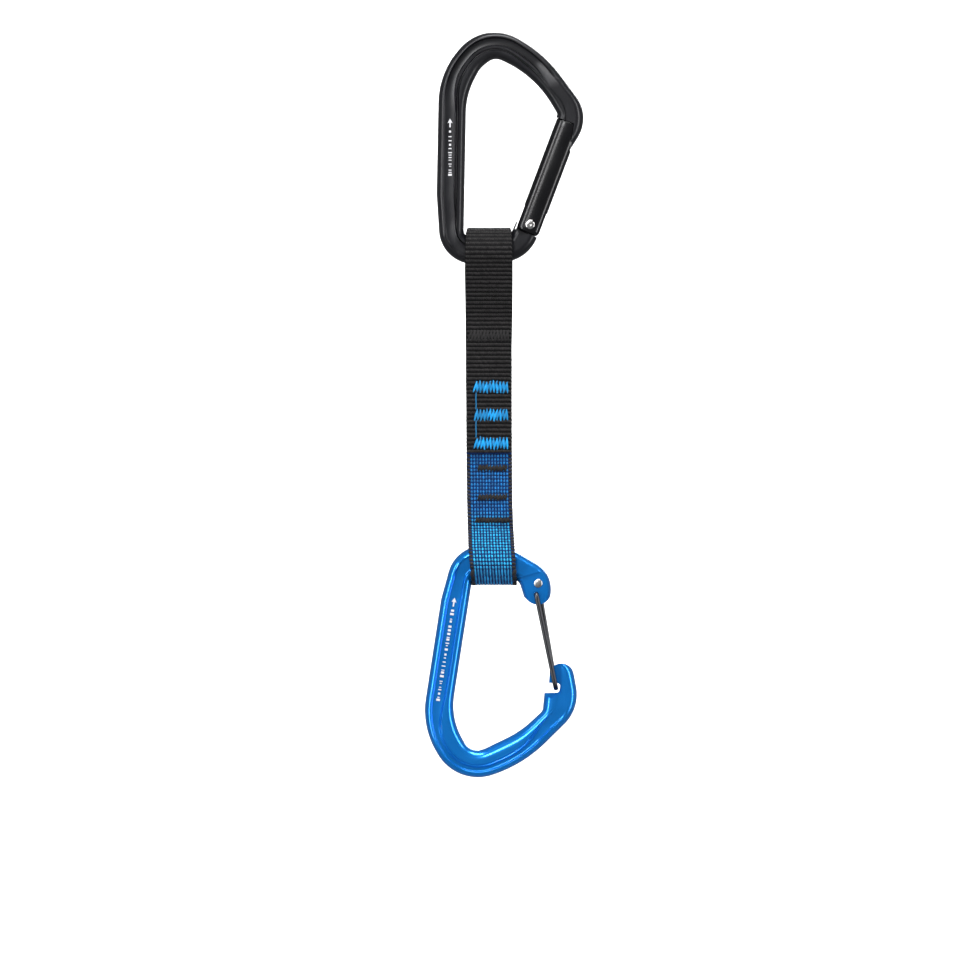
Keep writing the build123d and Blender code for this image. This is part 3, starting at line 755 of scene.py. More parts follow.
def laid_yarns_tree():
    """Geometry tree: rows of yarn floats laid along a line, on one of its sides."""
    if "laid yarns" in bpy.data.node_groups:
        return bpy.data.node_groups["laid yarns"]
    tree = bpy.data.node_groups.new("laid yarns", "GeometryNodeTree")
    number, whole = "NodeSocketFloat", "NodeSocketInt"
    in_out(
        tree,
        [
            ("Geometry", "NodeSocketGeometry", None), ("Columns", whole, 12), ("Rows", whole, 10),
            ("Row Width", number, 0.018), ("Start", number, 0.0), ("Length", number, 0.1),
            ("Float Width", number, 0.0009), ("Float Length", number, 0.0014), ("Float Height", number, 0.0004),
            ("Lift", number, 0.0008), ("Side", number, 1.0), ("Tilt", number, 0.0), ("Zigzag", number, 0.0),
            ("Stagger", number, 0.0), ("Unevenness", number, 0.08), ("Seed", whole, 1),
            ("Nominal Half", number, 0.00995),
            ("Yarn", "NodeSocketMaterial", None),
        ],
        [("Geometry", "NodeSocketGeometry")],
    )
    kit = Nodes(tree)
    start, end = kit.add("NodeGroupInput"), kit.add("NodeGroupOutput")
    given = start.outputs

    def triple(x, y, z):
        node = kit.add("ShaderNodeCombineXYZ")
        for socket, value in zip(node.inputs, (x, y, z)):
            if isinstance(value, bpy.types.NodeSocket):
                kit.link(value, socket)
            else:
                socket.default_value = value
        return node.outputs[0]

    def uneven(low, high, seed):
        node = kit.add("FunctionNodeRandomValue", data_type="FLOAT")
        node.inputs[2].default_value = low
        node.inputs[3].default_value = high
        kit.link(kit.maths("ADD", given["Seed"], seed), node.inputs["Seed"])
        return kit.maths("MULTIPLY", node.outputs[1], given["Unevenness"])

    grid = kit.add("GeometryNodeMeshGrid")
    kit.link(given["Row Width"], grid.inputs["Size X"])
    kit.link(given["Length"], grid.inputs["Size Y"])
    kit.link(given["Columns"], grid.inputs["Vertices X"])
    kit.link(given["Rows"], grid.inputs["Vertices Y"])
    place = kit.add("ShaderNodeSeparateXYZ")
    kit.link(kit.add("GeometryNodeInputPosition").outputs[0], place.inputs[0])
    across = place.outputs[0]
    spaces = kit.maths("MAXIMUM", kit.maths("SUBTRACT", given["Columns"], 1), 1)
    step = kit.maths("DIVIDE", given["Row Width"], spaces)
    from_edge = kit.maths("ADD", across, kit.maths("MULTIPLY", given["Row Width"], 0.5))
    column = kit.maths("ROUND", kit.maths("DIVIDE", from_edge, step))
    odd = kit.maths("MODULO", column, 2.0)
    shift = kit.maths("MULTIPLY", odd, given["Stagger"])
    loose = kit.maths("MULTIPLY", uneven(-1.0, 1.0, 11), given["Float Length"])
    sway = kit.maths("MULTIPLY", uneven(-0.6, 0.6, 12), given["Float Width"])
    move = kit.add("GeometryNodeSetPosition")
    kit.link(grid.outputs[0], move.inputs["Geometry"])
    kit.link(triple(sway, kit.maths("ADD", shift, loose), 0.0), move.inputs["Offset"])

    grainy = kit.add("GeometryNodeMeshUVSphere")
    grainy.inputs["Segments"].default_value = 6
    grainy.inputs["Rings"].default_value = 6
    grainy.inputs["Radius"].default_value = 1.0
    turned = kit.add("GeometryNodeTransform")
    turned.inputs["Rotation"].default_value = (math.pi / 2, 0.0, 0.0)
    kit.link(grainy.outputs[0], turned.inputs["Geometry"])
    half_width = kit.maths("MULTIPLY", given["Float Width"], 0.5)
    half_length = kit.maths("MULTIPLY", given["Float Length"], kit.maths("ADD", uneven(-0.8, 0.8, 13), 0.5))
    signed = kit.maths("SUBTRACT", kit.maths("MULTIPLY", odd, 2.0), 1.0)
    lean = kit.maths("ADD", given["Tilt"], kit.maths("MULTIPLY", signed, given["Zigzag"]))
    turn = kit.maths("ADD", lean, uneven(-1.0, 1.0, 14))
    laid = kit.add("GeometryNodeInstanceOnPoints")
    kit.link(move.outputs[0], laid.inputs["Points"])
    kit.link(turned.outputs[0], laid.inputs["Instance"])
    kit.link(triple(0.0, 0.0, turn), laid.inputs["Rotation"])
    kit.link(triple(half_width, half_length, given["Float Height"]), laid.inputs["Scale"])
    tone = kit.add("FunctionNodeRandomValue", data_type="FLOAT")
    kit.link(given["Seed"], tone.inputs["Seed"])
    keep = kit.add("GeometryNodeStoreNamedAttribute", data_type="FLOAT", domain="INSTANCE")
    keep.inputs["Name"].default_value = "tone"
    kit.link(laid.outputs[0], keep.inputs["Geometry"])
    kit.link(tone.outputs[1], keep.inputs["Value"])
    real = kit.add("GeometryNodeRealizeInstances")
    kit.link(keep.outputs[0], real.inputs[0])

    line = kit.add("GeometryNodeMeshToCurve")
    kit.link(given["Geometry"], line.inputs["Mesh"])
    edges = kit.add("GeometryNodeInputNamedAttribute", data_type="FLOAT_VECTOR")
    edges.inputs["Name"].default_value = "edges"
    flat = kit.add("ShaderNodeSeparateXYZ")
    kit.link(kit.add("GeometryNodeInputPosition").outputs[0], flat.inputs[0])
    sample = kit.add("GeometryNodeSampleCurve", mode="LENGTH", data_type="FLOAT_VECTOR")
    sample.use_all_curves = False
    kit.link(line.outputs[0], sample.inputs["Curves"])
    kit.link(edges.outputs[0], sample.inputs["Value"])
    middle = kit.maths("ADD", given["Start"], kit.maths("MULTIPLY", given["Length"], 0.5))
    kit.link(kit.maths("ADD", flat.outputs[1], middle), sample.inputs["Length"])
    at_edges = kit.add("ShaderNodeSeparateXYZ")
    kit.link(sample.outputs["Value"], at_edges.inputs[0])
    share = kit.maths("DIVIDE", at_edges.outputs[1], given["Nominal Half"])
    sideways = kit.maths("ADD", at_edges.outputs[0], kit.maths("MULTIPLY", flat.outputs[0], share))
    outward = kit.add("ShaderNodeVectorMath", operation="CROSS_PRODUCT")
    outward.inputs[0].default_value = (1.0, 0.0, 0.0)
    kit.link(sample.outputs["Tangent"], outward.inputs[1])
    rise = kit.maths("MULTIPLY", kit.maths("ADD", flat.outputs[2], given["Lift"]), given["Side"])
    lifted = kit.add("ShaderNodeVectorMath", operation="SCALE")
    kit.link(outward.outputs[0], lifted.inputs[0])
    kit.link(rise, lifted.inputs["Scale"])
    base = kit.add("ShaderNodeVectorMath", operation="ADD")
    kit.link(sample.outputs["Position"], base.inputs[0])
    kit.link(lifted.outputs[0], base.inputs[1])
    final = kit.add("ShaderNodeVectorMath", operation="ADD")
    kit.link(base.outputs[0], final.inputs[0])
    kit.link(triple(sideways, 0.0, 0.0), final.inputs[1])
    bend = kit.add("GeometryNodeSetPosition")
    kit.link(real.outputs[0], bend.inputs["Geometry"])
    kit.link(final.outputs[0], bend.inputs["Position"])
    flip = kit.add("GeometryNodeFlipFaces")
    kit.link(bend.outputs[0], flip.inputs["Mesh"])
    kit.link(kit.maths("GREATER_THAN", given["Side"], 0.0), flip.inputs["Selection"])
    smooth = kit.add("GeometryNodeSetShadeSmooth")
    kit.link(flip.outputs[0], smooth.inputs["Geometry"])
    whole_thing = kit.add("GeometryNodeRealizeInstances")
    kit.link(smooth.outputs[0], whole_thing.inputs[0])
    paint = kit.add("GeometryNodeSetMaterial")
    kit.link(whole_thing.outputs[0], paint.inputs["Geometry"])
    kit.link(given["Yarn"], paint.inputs["Material"])
    kit.link(paint.outputs[0], end.inputs[0])
    return tree


def yarn_line(name, points):
    """Wire mesh of a line in (depth, height), with the middle and half width of the strip at each point."""
    mesh = bpy.data.meshes.new(name)
    mesh.from_pydata([(0.0, p.x * MM, p.y * MM) for p in points], [(i, i + 1) for i in range(len(points) - 1)], [])
    data = mesh.attributes.new("edges", "FLOAT_VECTOR", "POINT")
    for i, p in enumerate(points):
        left, right = web_edges(p.y)
        data.data[i].vector = ((left + right) / 2 * MM, (right - left) / 2 * MM, 0.0)
    obj = bpy.data.objects.new(name, mesh)
    bpy.context.scene.collection.objects.link(obj)
    return obj


def lay_yarns(name, points, material, **sizes):
    """Floats laid on a line; sizes go to the tree's named inputs."""
    obj = yarn_line(name, points)
    tree = laid_yarns_tree()
    step = obj.modifiers.new("laid yarns", "NODES")
    step.node_group = tree
    sockets = {item.name: item.identifier for item in tree.interface.items_tree if item.in_out == "INPUT"}
    for key, value in sizes.items():
        step[sockets[key.replace("_", " ")]] = value
    step[sockets["Yarn"]] = material
    bake_down(obj)
    if not obj.data.polygons:
        raise RuntimeError(f"{name}: no floats were laid")
    return obj


def gather(name, objects):
    """Join laid pieces into one object, keeping their materials and tones."""
    for obj in bpy.context.view_layer.objects:
        obj.select_set(False)
    for obj in objects:
        obj.select_set(True)
    bpy.context.view_layer.objects.active = objects[0]
    bpy.ops.object.join()
    objects[0].name = name
    objects[0].data.name = name
    return objects[0]


# ------------------------------------------------------------ webbing shape


def web_edges(height):
    """Left and right edge of the webbing seen from the front, at a height."""
    rows = [(-z, left, right) for z, left, right in WEB_EDGES]
    return between(-height, rows)


def loop_corner(split, centre, radius):
    """Height at which the slanted ply meets the upright beside the fold."""
    slant = math.atan2(radius, math.sqrt((split - centre) ** 2 - radius**2))
    reach = radius / math.sin(slant) * math.cos(slant)
    return split + reach if centre > split else split - reach


def sling_line():
    """Middle line of the strip from its front end to its back end, in (depth, height)."""
    upper = loop_corner(UPPER_SPLIT, BOLT_BAR_Z, UPPER_FOLD)
    lower = loop_corner(LOWER_SPLIT, ROPE_BAR_Z, LOWER_FOLD)
    top, foot = BOLT_BAR_Z + UPPER_FOLD, ROPE_BAR_Z - LOWER_FOLD
    corners = [
        ((-PLY_PITCH, FRONT_END), 0), ((-PLY_PITCH, UPPER_SPLIT), 12), ((-UPPER_FOLD, upper), UPPER_FOLD),
        ((-UPPER_FOLD, top), UPPER_FOLD - 0.1), ((UPPER_FOLD, top), UPPER_FOLD - 0.1),
        ((UPPER_FOLD, upper), UPPER_FOLD), ((0, UPPER_SPLIT), 12), ((0, LOWER_SPLIT), 3),
        ((-LOWER_FOLD, lower), LOWER_FOLD), ((-LOWER_FOLD, foot), LOWER_FOLD - 0.1),
        ((LOWER_FOLD, foot), LOWER_FOLD - 0.1), ((LOWER_FOLD, lower), LOWER_FOLD),
        ((PLY_PITCH, LOWER_SPLIT), 3), ((PLY_PITCH, BACK_END), 0),
    ]
    line = Path(rounded_outline(corners, step=0.5, closed=False))
    count = int(line.total / 0.8)
    return [line.at(line.total * i / count) for i in range(count + 1)]


def strip_mesh(name, points, thick):
    """Webbing strip with soft edges along a line; black on one side and blue on the other."""
    count = len(points)
    section = []
    for k in range(8):
        section.append((-1.0 + 2.0 * k / 7, -0.5))
    for k in range(1, 4):
        a = -math.pi / 2 + math.pi * k / 4
        section.append((1.0, math.sin(a) * 0.5, math.cos(a) * 0.55))
    for k in range(8):
        section.append((1.0 - 2.0 * k / 7, 0.5))
    for k in range(1, 4):
        a = math.pi / 2 + math.pi * k / 4
        section.append((-1.0, math.sin(a) * 0.5, math.cos(a) * 0.55))
    verts, sides = [], []
    lengths = [0.0]
    for a, b in zip(points, points[1:]):
        lengths.append(lengths[-1] + (b - a).length)
    for i, p in enumerate(points):
        tangent = (points[min(count - 1, i + 1)] - points[max(0, i - 1)]).normalized()
        normal = Vector((-tangent.y, tangent.x))
        left, right = web_edges(p.y)
        middle, half = (left + right) / 2, (right - left) / 2 - 0.45
        for item in section:
            bulge = item[2] if len(item) > 2 else 0.0
            y = item[1] * thick
            verts.append((middle + item[0] * half + bulge, p.x - normal.x * -y, p.y - normal.y * -y))
            sides.append(1.0 if item[1] < 0 else 0.0)
    size = len(section)
    faces = []
    for i in range(count - 1):
        for k in range(size):
            j = (k + 1) % size
            faces.append((i * size + k, i * size + j, (i + 1) * size + j, (i + 1) * size + k))
    faces.append(tuple(reversed(range(size))))
    faces.append(tuple(range((count - 1) * size, count * size)))
    obj = mesh_object(name, verts, faces, 50)
    if sum(p.normal.dot(p.center - Vector((-0.003, 0.0, p.center.z))) * p.area for p in obj.data.polygons) < 0:
        obj.data.flip_normals()
    mark = obj.data.attributes.new("blue_side", "FLOAT", "POINT")
    mark.data.foreach_set("value", sides)
    layer = obj.data.uv_layers.new(name="strip")
    for loop in obj.data.loops:
        i, k = divmod(loop.vertex_index, size)
        layer.data[loop.index].uv = (verts[loop.vertex_index][0] * MM, lengths[i] * MM)
    return obj


# ------------------------------------------------------------------- settings


class QuickdrawMetalSettings(bpy.types.PropertyGroup):
    """Sizes and colours of the metal pieces."""

    panel_depth: bpy.props.FloatProperty(
        name="Panel depth", description="Depth of the panels forged into the spines", default=0.9 * MM, min=0.0,
        unit="LENGTH", subtype="DISTANCE",
    )
    bolt_colour: bpy.props.FloatVectorProperty(
        name="Bolt carabiner colour", description="Anodised colour of the upper carabiner", subtype="COLOR",
        size=3, default=(0.005, 0.005, 0.0065), min=0.0, max=1.0,
    )
    gate_colour: bpy.props.FloatVectorProperty(
        name="Gate colour", description="Anodised colour of the solid gate", subtype="COLOR", size=3,
        default=(0.0015, 0.0015, 0.002), min=0.0, max=1.0,
    )
    rope_colour: bpy.props.FloatVectorProperty(
        name="Rope carabiner colour", description="Anodised colour of the lower carabiner", subtype="COLOR",
        size=3, default=(0.0, 0.18, 0.60), min=0.0, max=1.0,
    )
    wire_colour: bpy.props.FloatVectorProperty(
        name="Wire colour", description="Colour of the wire gate", subtype="COLOR", size=3,
        default=(0.06, 0.06, 0.065), min=0.0, max=1.0,
    )


class QuickdrawWebbingSettings(bpy.types.PropertyGroup):
    """Sizes and colours of the webbing and its stitching."""

    rib_pitch: bpy.props.FloatProperty(
        name="Rib pitch", description="Distance between the ribs of the black side", default=1.8 * MM,
        min=0.5 * MM, unit="LENGTH", subtype="DISTANCE",
    )
    float_pitch: bpy.props.FloatProperty(
        name="Float pitch", description="Distance between the floats of the blue side", default=1.5 * MM,
        min=0.5 * MM, unit="LENGTH", subtype="DISTANCE",
    )
    columns: bpy.props.IntProperty(
        name="Blue columns", description="Columns of floats across the blue side", default=13, min=3, max=30,
    )
    black_yarn: bpy.props.FloatVectorProperty(
        name="Black yarn", description="Lighter tone of the black yarn", subtype="COLOR", size=3,
        default=(0.016, 0.0145, 0.015), min=0.0, max=1.0,
    )
    blue_yarn: bpy.props.FloatVectorProperty(
        name="Blue yarn", description="Lighter tone of the blue yarn", subtype="COLOR", size=3,
        default=(0.012, 0.42, 0.78), min=0.0, max=1.0,
    )
    blue_thread: bpy.props.FloatVectorProperty(
        name="Blue thread", description="Lighter tone of the blue stitching", subtype="COLOR", size=3,
        default=(0.0, 0.30, 0.72), min=0.0, max=1.0,
    )


# ------------------------------------------------------------------- pieces


def bolt_look(depth):
    """Look of the bolt carabiner's section around its ring."""
    spine = {
        "outer_round": 2.5, "inner_round": 3.0, "panel_from": 3.0, "panel_to": 7.6, "panel_depth": depth,
        "hollow": 0.25, "groove_from": 7.5, "groove_to": 9.0, "groove_depth": 1.5,
    }
    top = {
        "outer_round": 2.0, "inner_round": 3.6, "panel_from": 2.5, "panel_to": 6.0, "panel_depth": 1.8,
        "hollow": 0.2, "groove_from": 7.2, "groove_to": 8.2, "groove_depth": 0.8,
    }
    plain = dict(spine, panel_depth=0.0, hollow=0.0, groove_depth=0.0, outer_round=3.4, inner_round=3.6)
    foot = dict(spine, outer_round=3.2, inner_round=3.6, panel_depth=depth * 0.6, groove_depth=0.9)

    def look(point, width):
        x, z = point
        upper = ease(-22.0, -2.0, z)
        result = mixed(spine, top, upper)
        lower = 1 - ease(-82.0, -70.0, z)
        result = mixed(result, foot, lower)
        nose = ease(20.0, 31.0, x) * ease(-60.0, -50.0, z)
        gate_side = ease(-9.0, -1.0, x) * (1 - ease(-60.0, -50.0, z))
        result = mixed(result, plain, max(nose, gate_side))
        room = width - 3.4
        for key in ("panel_to", "groove_from", "groove_to"):
            result[key] = min(result[key], room + (0.4 if key == "groove_to" else 0.0))
        result["groove_from"] = min(result["groove_from"], result["groove_to"] - 0.5)
        result["panel_to"] = max(min(result["panel_to"], result["groove_from"] + 0.1), result["panel_from"] + 0.9)
        result["groove_from"] = max(result["groove_from"], result["panel_to"] - 0.1)
        result["groove_to"] = max(result["groove_to"], result["groove_from"] + 0.5)
        return result

    return look


def rope_look(depth):
    """Look of the rope carabiner's section around its ring, in its upright drawing."""
    spine = {
        "outer_round": 2.6, "inner_round": 3.2, "panel_from": 3.0, "panel_to": 8.2, "panel_depth": depth + 0.1,
        "hollow": 0.15, "groove_from": 8.3, "groove_to": 8.9, "groove_depth": 0.35,
    }
    basket = {
        "outer_round": 2.2, "inner_round": 4.4, "panel_from": 2.6, "panel_to": 4.7, "panel_depth": depth * 0.8,
        "hollow": 0.1, "groove_from": 5.2, "groove_to": 5.8, "groove_depth": 0.3,
    }
    plain = dict(spine, panel_depth=0.0, hollow=0.0, groove_depth=0.0, outer_round=3.4, inner_round=3.8)

    def look(point, width):
        x, z = point
        low = 1 - ease(-84.0, -62.0, z)
        result = mixed(spine, basket, low)
        smooth = max(ease(2.0, 12.0, x) * ease(-40.0, -25.0, z), ease(33.0, 41.0, x) * ease(-72.0, -55.0, z))
        top = ease(-6.0, 2.0, z)
        result = mixed(result, plain, max(smooth, top * 0.8))
        room = width - 3.0
        result["groove_to"] = min(result["groove_to"], room)
        result["groove_from"] = min(result["groove_from"], result["groove_to"] - 0.5)
        result["panel_to"] = min(result["panel_to"], result["groove_from"])
        return result

    return look


def drawn(points, place):
    """Points of a drawing put in place."""
    return [place(point) for point in points]


def gate_room():
    """Blocks that clear the bolt carabiner for its gate, closed and while the tail swings."""
    half = 10.6 / 2
    room = [
        (4.0, -half - 3), (4.0, -half - SHUT_GAP),
        (-GATE_TAIL - SHUT_GAP, -half - SHUT_GAP), (-GATE_TAIL - SHUT_GAP, half + 4),
        (FINGER_START + SHUT_GAP, half + 4), (FINGER_START + SHUT_GAP, FINGER_TIP + SHUT_GAP),
        (GATE_REACH + SHUT_GAP, FINGER_ROOT + SHUT_GAP), (GATE_REACH + SHUT_GAP, -half - 3),
    ]
    tail = [
        (-GATE_TAIL - SHUT_GAP, -half - SHUT_GAP + 1.2),
        (-GATE_TAIL - SHUT_GAP + 1.2, -half - SHUT_GAP), (12.0, -half - SHUT_GAP),
        (12.0, half + SHUT_GAP), (-GATE_TAIL - SHUT_GAP, half + SHUT_GAP),
    ]
    blocks = [prism("room", [along_gate(*p) for p in room], -6, 6)]
    centre = Vector(RIVET_AT)
    for share in (1 / 3, 2 / 3, 1):
        angle = math.radians(27) * share
        c, s = math.cos(angle), math.sin(angle)
        shape = []
        for p in tail:
            d = along_gate(*p) - centre
            shape.append(centre + Vector((d.x * c - d.y * s, d.x * s + d.y * c)))
        blocks.append(prism("tail room", shape, -6, 6))
    return blocks


def rounded_path(points, radii, step=0.25):
    """Line in space whose corners are rounded by arcs."""
    points = [Vector(p) for p in points]
    result = [points[0]]
    for here, before, after, radius in zip(points[1:-1], points, points[2:], radii):
        back, ahead = (before - here).normalized(), (after - here).normalized()
        angle = back.angle(ahead)
        middle = here + (back + ahead).normalized() * (radius / math.sin(angle / 2))
        first = here + back * (radius / math.tan(angle / 2)) - middle
        axis = ahead.cross(back).normalized()
        pieces = max(5, int(radius * (math.pi - angle) / step))
        for k in range(pieces + 1):
            result.append(middle + Matrix.Rotation((math.pi - angle) * k / pieces, 3, axis) @ first)
    result.append(points[-1])
    filled = [result[0]]
    for a, b in zip(result, result[1:]):
        count = max(1, int((b - a).length / 1.0))
        filled += [a.lerp(b, k / count) for k in range(1, count + 1)]
    return filled


def etched_marks(name, place, start, count, depth):
    """Plain pale marks down a spine: an arrow, then a row of short bars and dots."""
    chance = random.Random(count)
    pieces = []
    x, z = start
    arrow = [(x - 1.1, z - 1.6), (x, z + 0.4), (x + 1.1, z - 1.6), (x + 0.3, z - 1.3), (x + 0.3, z - 3.4),
             (x - 0.3, z - 3.4), (x - 0.3, z - 1.3)]
    pieces.append(prism(name + "_arrow", drawn(arrow, place), depth, depth + 0.35))
    z -= 5.2
    for index in range(count):
        wide = chance.choice((0.9, 1.3, 1.3, 1.6)) / 2
        tall = chance.choice((0.35, 0.45, 0.9)) / 2
        bar = [(x - wide, z - tall), (x + wide, z - tall), (x + wide, z + tall), (x - wide, z + tall)]
        pieces.append(prism(f"{name}_{index}", drawn(bar, place), depth, depth + 0.35))
        z -= 2 * tall + chance.choice((0.6, 0.7, 1.3))
    marks = join(name, pieces)
    return painted(marks, metal(name + "_finish", (0.5, 0.5, 0.52), (0.62, 0.62, 0.64), 0.5, metallic=0.2))


class QUICKDRAW_OT_bolt_carabiner(bpy.types.Operator):
    """Forge the upper carabiner: ring, relief, nose key and the tang that holds the gate"""

    bl_idname = "quickdraw.bolt_carabiner"
    bl_label = "Bolt carabiner"

    def execute(self, context):
        settings = context.scene.quickdraw_metal
        drawing = (BOLT_OUTER, BOLT_INNER, BOLT_PAIRS)
        body = forged_ring("bolt_carabiner_finished", drawing, on_bolt, 4.8, bolt_look(settings.panel_depth / MM))
        carve(body, gate_room())
        soften(body, 32)
        tang = [
            (3.7 * math.cos(math.radians(a)), -3.7 * math.sin(math.radians(a))) for a in range(-80, 40, 8)
        ] + [(1.5, -4.4), (-3.0, -5.0), (-8.0, -5.0), (-8.0, 3.5)]
        key = [(GATE_REACH + 1.5, -1.0), (39.5, -1.0), (39.5, 4.6), (GATE_REACH + 1.5, 3.0)]
        tang_block = prism("tang", [along_gate(*p) for p in tang], -2.1, 2.1)
        key_block = prism("key", [along_gate(*p) for p in key], -1.7, 1.7)
        carve(tang_block, [rod("hole", (RIVET_AT[0], -6, RIVET_AT[1]), (0, 1, 0), 1.66, 12)])
        body = join("bolt_carabiner_finished", [body, tang_block, key_block])
        soften(body, 32)
        colour = tuple(settings.bolt_colour)
        marks = etched_marks("bolt_spine_marks", on_bolt, (-19.7, -26.0), 14, -3.98)
        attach(marks, "bolt_carabiner")
        painted(body, metal("charcoal anodising", colour, (0.03, 0.031, 0.036), 0.3, metallic=0.35, scratches=0.2))
        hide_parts("bolt_carabiner_body")
        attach(body, "bolt_carabiner")
        return {"FINISHED"}


class QUICKDRAW_OT_bolt_gate(bpy.types.Operator):
    """Turn the solid gate, with its slots, bore, rivet, plunger and spring"""

    bl_idname = "quickdraw.bolt_gate"
    bl_label = "Solid gate"

    def execute(self, context):
        settings = context.scene.quickdraw_metal
        sides, half_x, half_y, power = 56, 5.3, 4.7, 2.0 / 2.7
        stations = []
        for k in range(9):
            a = math.pi / 2 * k / 8
            stations.append((-GATE_TAIL + 2.2 * (1 - math.sin(a)), 1 - 0.30 * (1 - math.cos(a))))
        stations = sorted(stations)
        stations += [(-1.7 + 48.0 * k / 24, 1.0) for k in range(1, 25)]
        for k in range(1, 7):
            a = math.pi / 2 * k / 6
            stations.append((46.3 + 0.8 * math.sin(a), 1 - 0.12 * (1 - math.cos(a))))
        verts = []
        for along, size in stations:
            for k in range(sides):
                a = 2 * math.pi * k / sides
                c, s = math.cos(a), math.sin(a)
                across = half_x * size * math.copysign(abs(c) ** power, c)
                deep = half_y * size * math.copysign(abs(s) ** power, s)
                flat = along_gate(along, across)
                verts.append((flat.x, deep, flat.y))
        faces = [tuple(reversed(range(sides)))]
        for r in range(len(stations) - 1):
            for k in range(sides):
                j = (k + 1) % sides
                faces.append((r * sides + k, r * sides + j, (r + 1) * sides + j, (r + 1) * sides + k))
        faces.append(tuple(range((len(stations) - 1) * sides, len(stations) * sides)))
        gate = mesh_object("solid_gate", verts, faces, 40)
        if sum(p.normal.dot(p.center - Vector((0.023, 0, -0.05))) * p.area for p in gate.data.polygons) < 0:
            gate.data.flip_normals()
        finger = [
            (FINGER_START, 9.0), (FINGER_START, FINGER_TIP + 0.45), (FINGER_START + 0.5, FINGER_TIP),
            (GATE_REACH + 2.0, FINGER_ROOT - 0.4), (GATE_REACH + 2.0, 9.0),
        ]
        tail_slot = [(-10.0, -8.0), (-10.0, 8.0), (7.0, 8.0), (7.0, -8.0)]
        key_slot = [(GATE_REACH + 2, -1.3), (39.2, -1.3), (39.2, 9.0), (GATE_REACH + 2, 9.0)]
        axis = (math.cos(GATE_TILT), 0, math.sin(GATE_TILT))
        bore_at = along_gate(3.5, 0.0)
        carve(gate, [
            prism("finger", [along_gate(*p) for p in finger], -8, 8),
            prism("tail slot", [along_gate(*p) for p in tail_slot], -2.25, 2.25),
            prism("key slot", [along_gate(*p) for p in key_slot], -2.0, 2.0),
            rod("bore", (bore_at.x, 0, bore_at.y), axis, 2.19, 22.5),
            rod("rivet hole", (RIVET_AT[0], -9, RIVET_AT[1]), (0, 1, 0), 1.66, 18),
        ])
        soften(gate, 32)
        colour = tuple(settings.gate_colour)
        painted(gate, metal("gloss black anodising", colour, (0.008, 0.008, 0.01), 0.2, metallic=0.2, scratches=0.12))
        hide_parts("bolt_gate")
        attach(gate, "gate")

        profile = [(-5.09, 0.25), (-5.03, 0.3), (-5.09, 0.45), (-5.1, 0.9), (-5.02, 1.5), (-4.88, 1.85), (-4.78, 1.95)]
        profile += [(-4.76, 1.95), (-4.76, 1.6)]
        profile = [(-5.06, 0.02)] + profile
        profile = profile + [(-a, r) for a, r in reversed(profile)]
        rivet = turned_piece("gate_rivet", (RIVET_AT[0], 0, RIVET_AT[1]), (0, 1, 0), profile, 40)
        steel = metal("polished steel", (0.62, 0.61, 0.6), (0.35, 0.34, 0.33), 0.2, scratches=0.4)
        painted(rivet, steel)
        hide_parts("bolt_gate_rivet")
        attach(rivet, "bolt_carabiner")
        for node in ("bolt_gate_plunger", "bolt_gate_spring"):
            painted(frame["nodes"][node], steel)
        return {"FINISHED"}


class QUICKDRAW_OT_rope_carabiner(bpy.types.Operator):
    """Forge the lower carabiner: ring, relief, nose notch, flats and pivot holes"""

    bl_idname = "quickdraw.rope_carabiner"
    bl_label = "Rope carabiner"

    def execute(self, context):
        settings = context.scene.quickdraw_metal
        drawing = (ROPE_OUTER, ROPE_INNER, ROPE_PAIRS)
        body = forged_ring("rope_carabiner_finished", drawing, on_rope, 4.6, rope_look(settings.panel_depth / MM))
        room = 1.05 + PLAY + 0.35
        x, z = WIRE_END
        notch = [
            ((x + room, z + room + 0.7), 1.3), ((x + room, z - room), 1.3),
            ((x - 8.0, z - room - 1.8), 1.3), ((x - 8.0, z + room - 0.5), 1.3),
        ]
        lobe = [((12.0, -4.5), 1.5), ((17.5, -1.8), 3.0), ((30.0, 4.0), 1.0), ((30.0, -20.0), 1.0), ((14.5, -20.0), 1.0)]
        nose = [
            ((20.0, -30.0), 1.0), ((34.0, -30.0), 1.0), ((36.0, -42.0), 3.0), ((37.6, -50.5), 2.0),
            ((34.0, -53.5), 1.0), ((20.0, -53.5), 1.0),
        ]
        tools = [
            prism("gap", drawn(gate_gap(), on_rope), -7, 7),
            prism("notch", drawn(rounded_outline(notch, 0.3), on_rope), -7, 7),
        ]
        for side in (-1, 1):
            for outline, half in ((lobe, 3.8), (nose, 2.6)):
                low, high = sorted((side * half, side * 8))
                tools.append(prism("flat", drawn(rounded_outline(outline, 0.3), on_rope), low, high))
        for pivot in (FRONT_PIVOT, BACK_PIVOT):
            at = on_rope(pivot)
            tools.append(rod("hole", (at.x, -7, at.y), (0, 1, 0), 1.11, 14))
        carve(body, tools)
        soften(body, 32)
        colour = tuple(settings.rope_colour)
        worn = tuple(min(1.0, c * 1.3 + 0.02) for c in colour)
        marks = etched_marks("rope_spine_marks", on_rope, (-14.4, -18.0), 26, -3.66)
        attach(marks, "rope_carabiner")
        painted(body, metal("blue anodising", colour, worn, 0.2, metallic=0.7, coat=0.3, scratches=0.1))
        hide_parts("rope_carabiner_body")
        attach(body, "rope_carabiner")
        return {"FINISHED"}


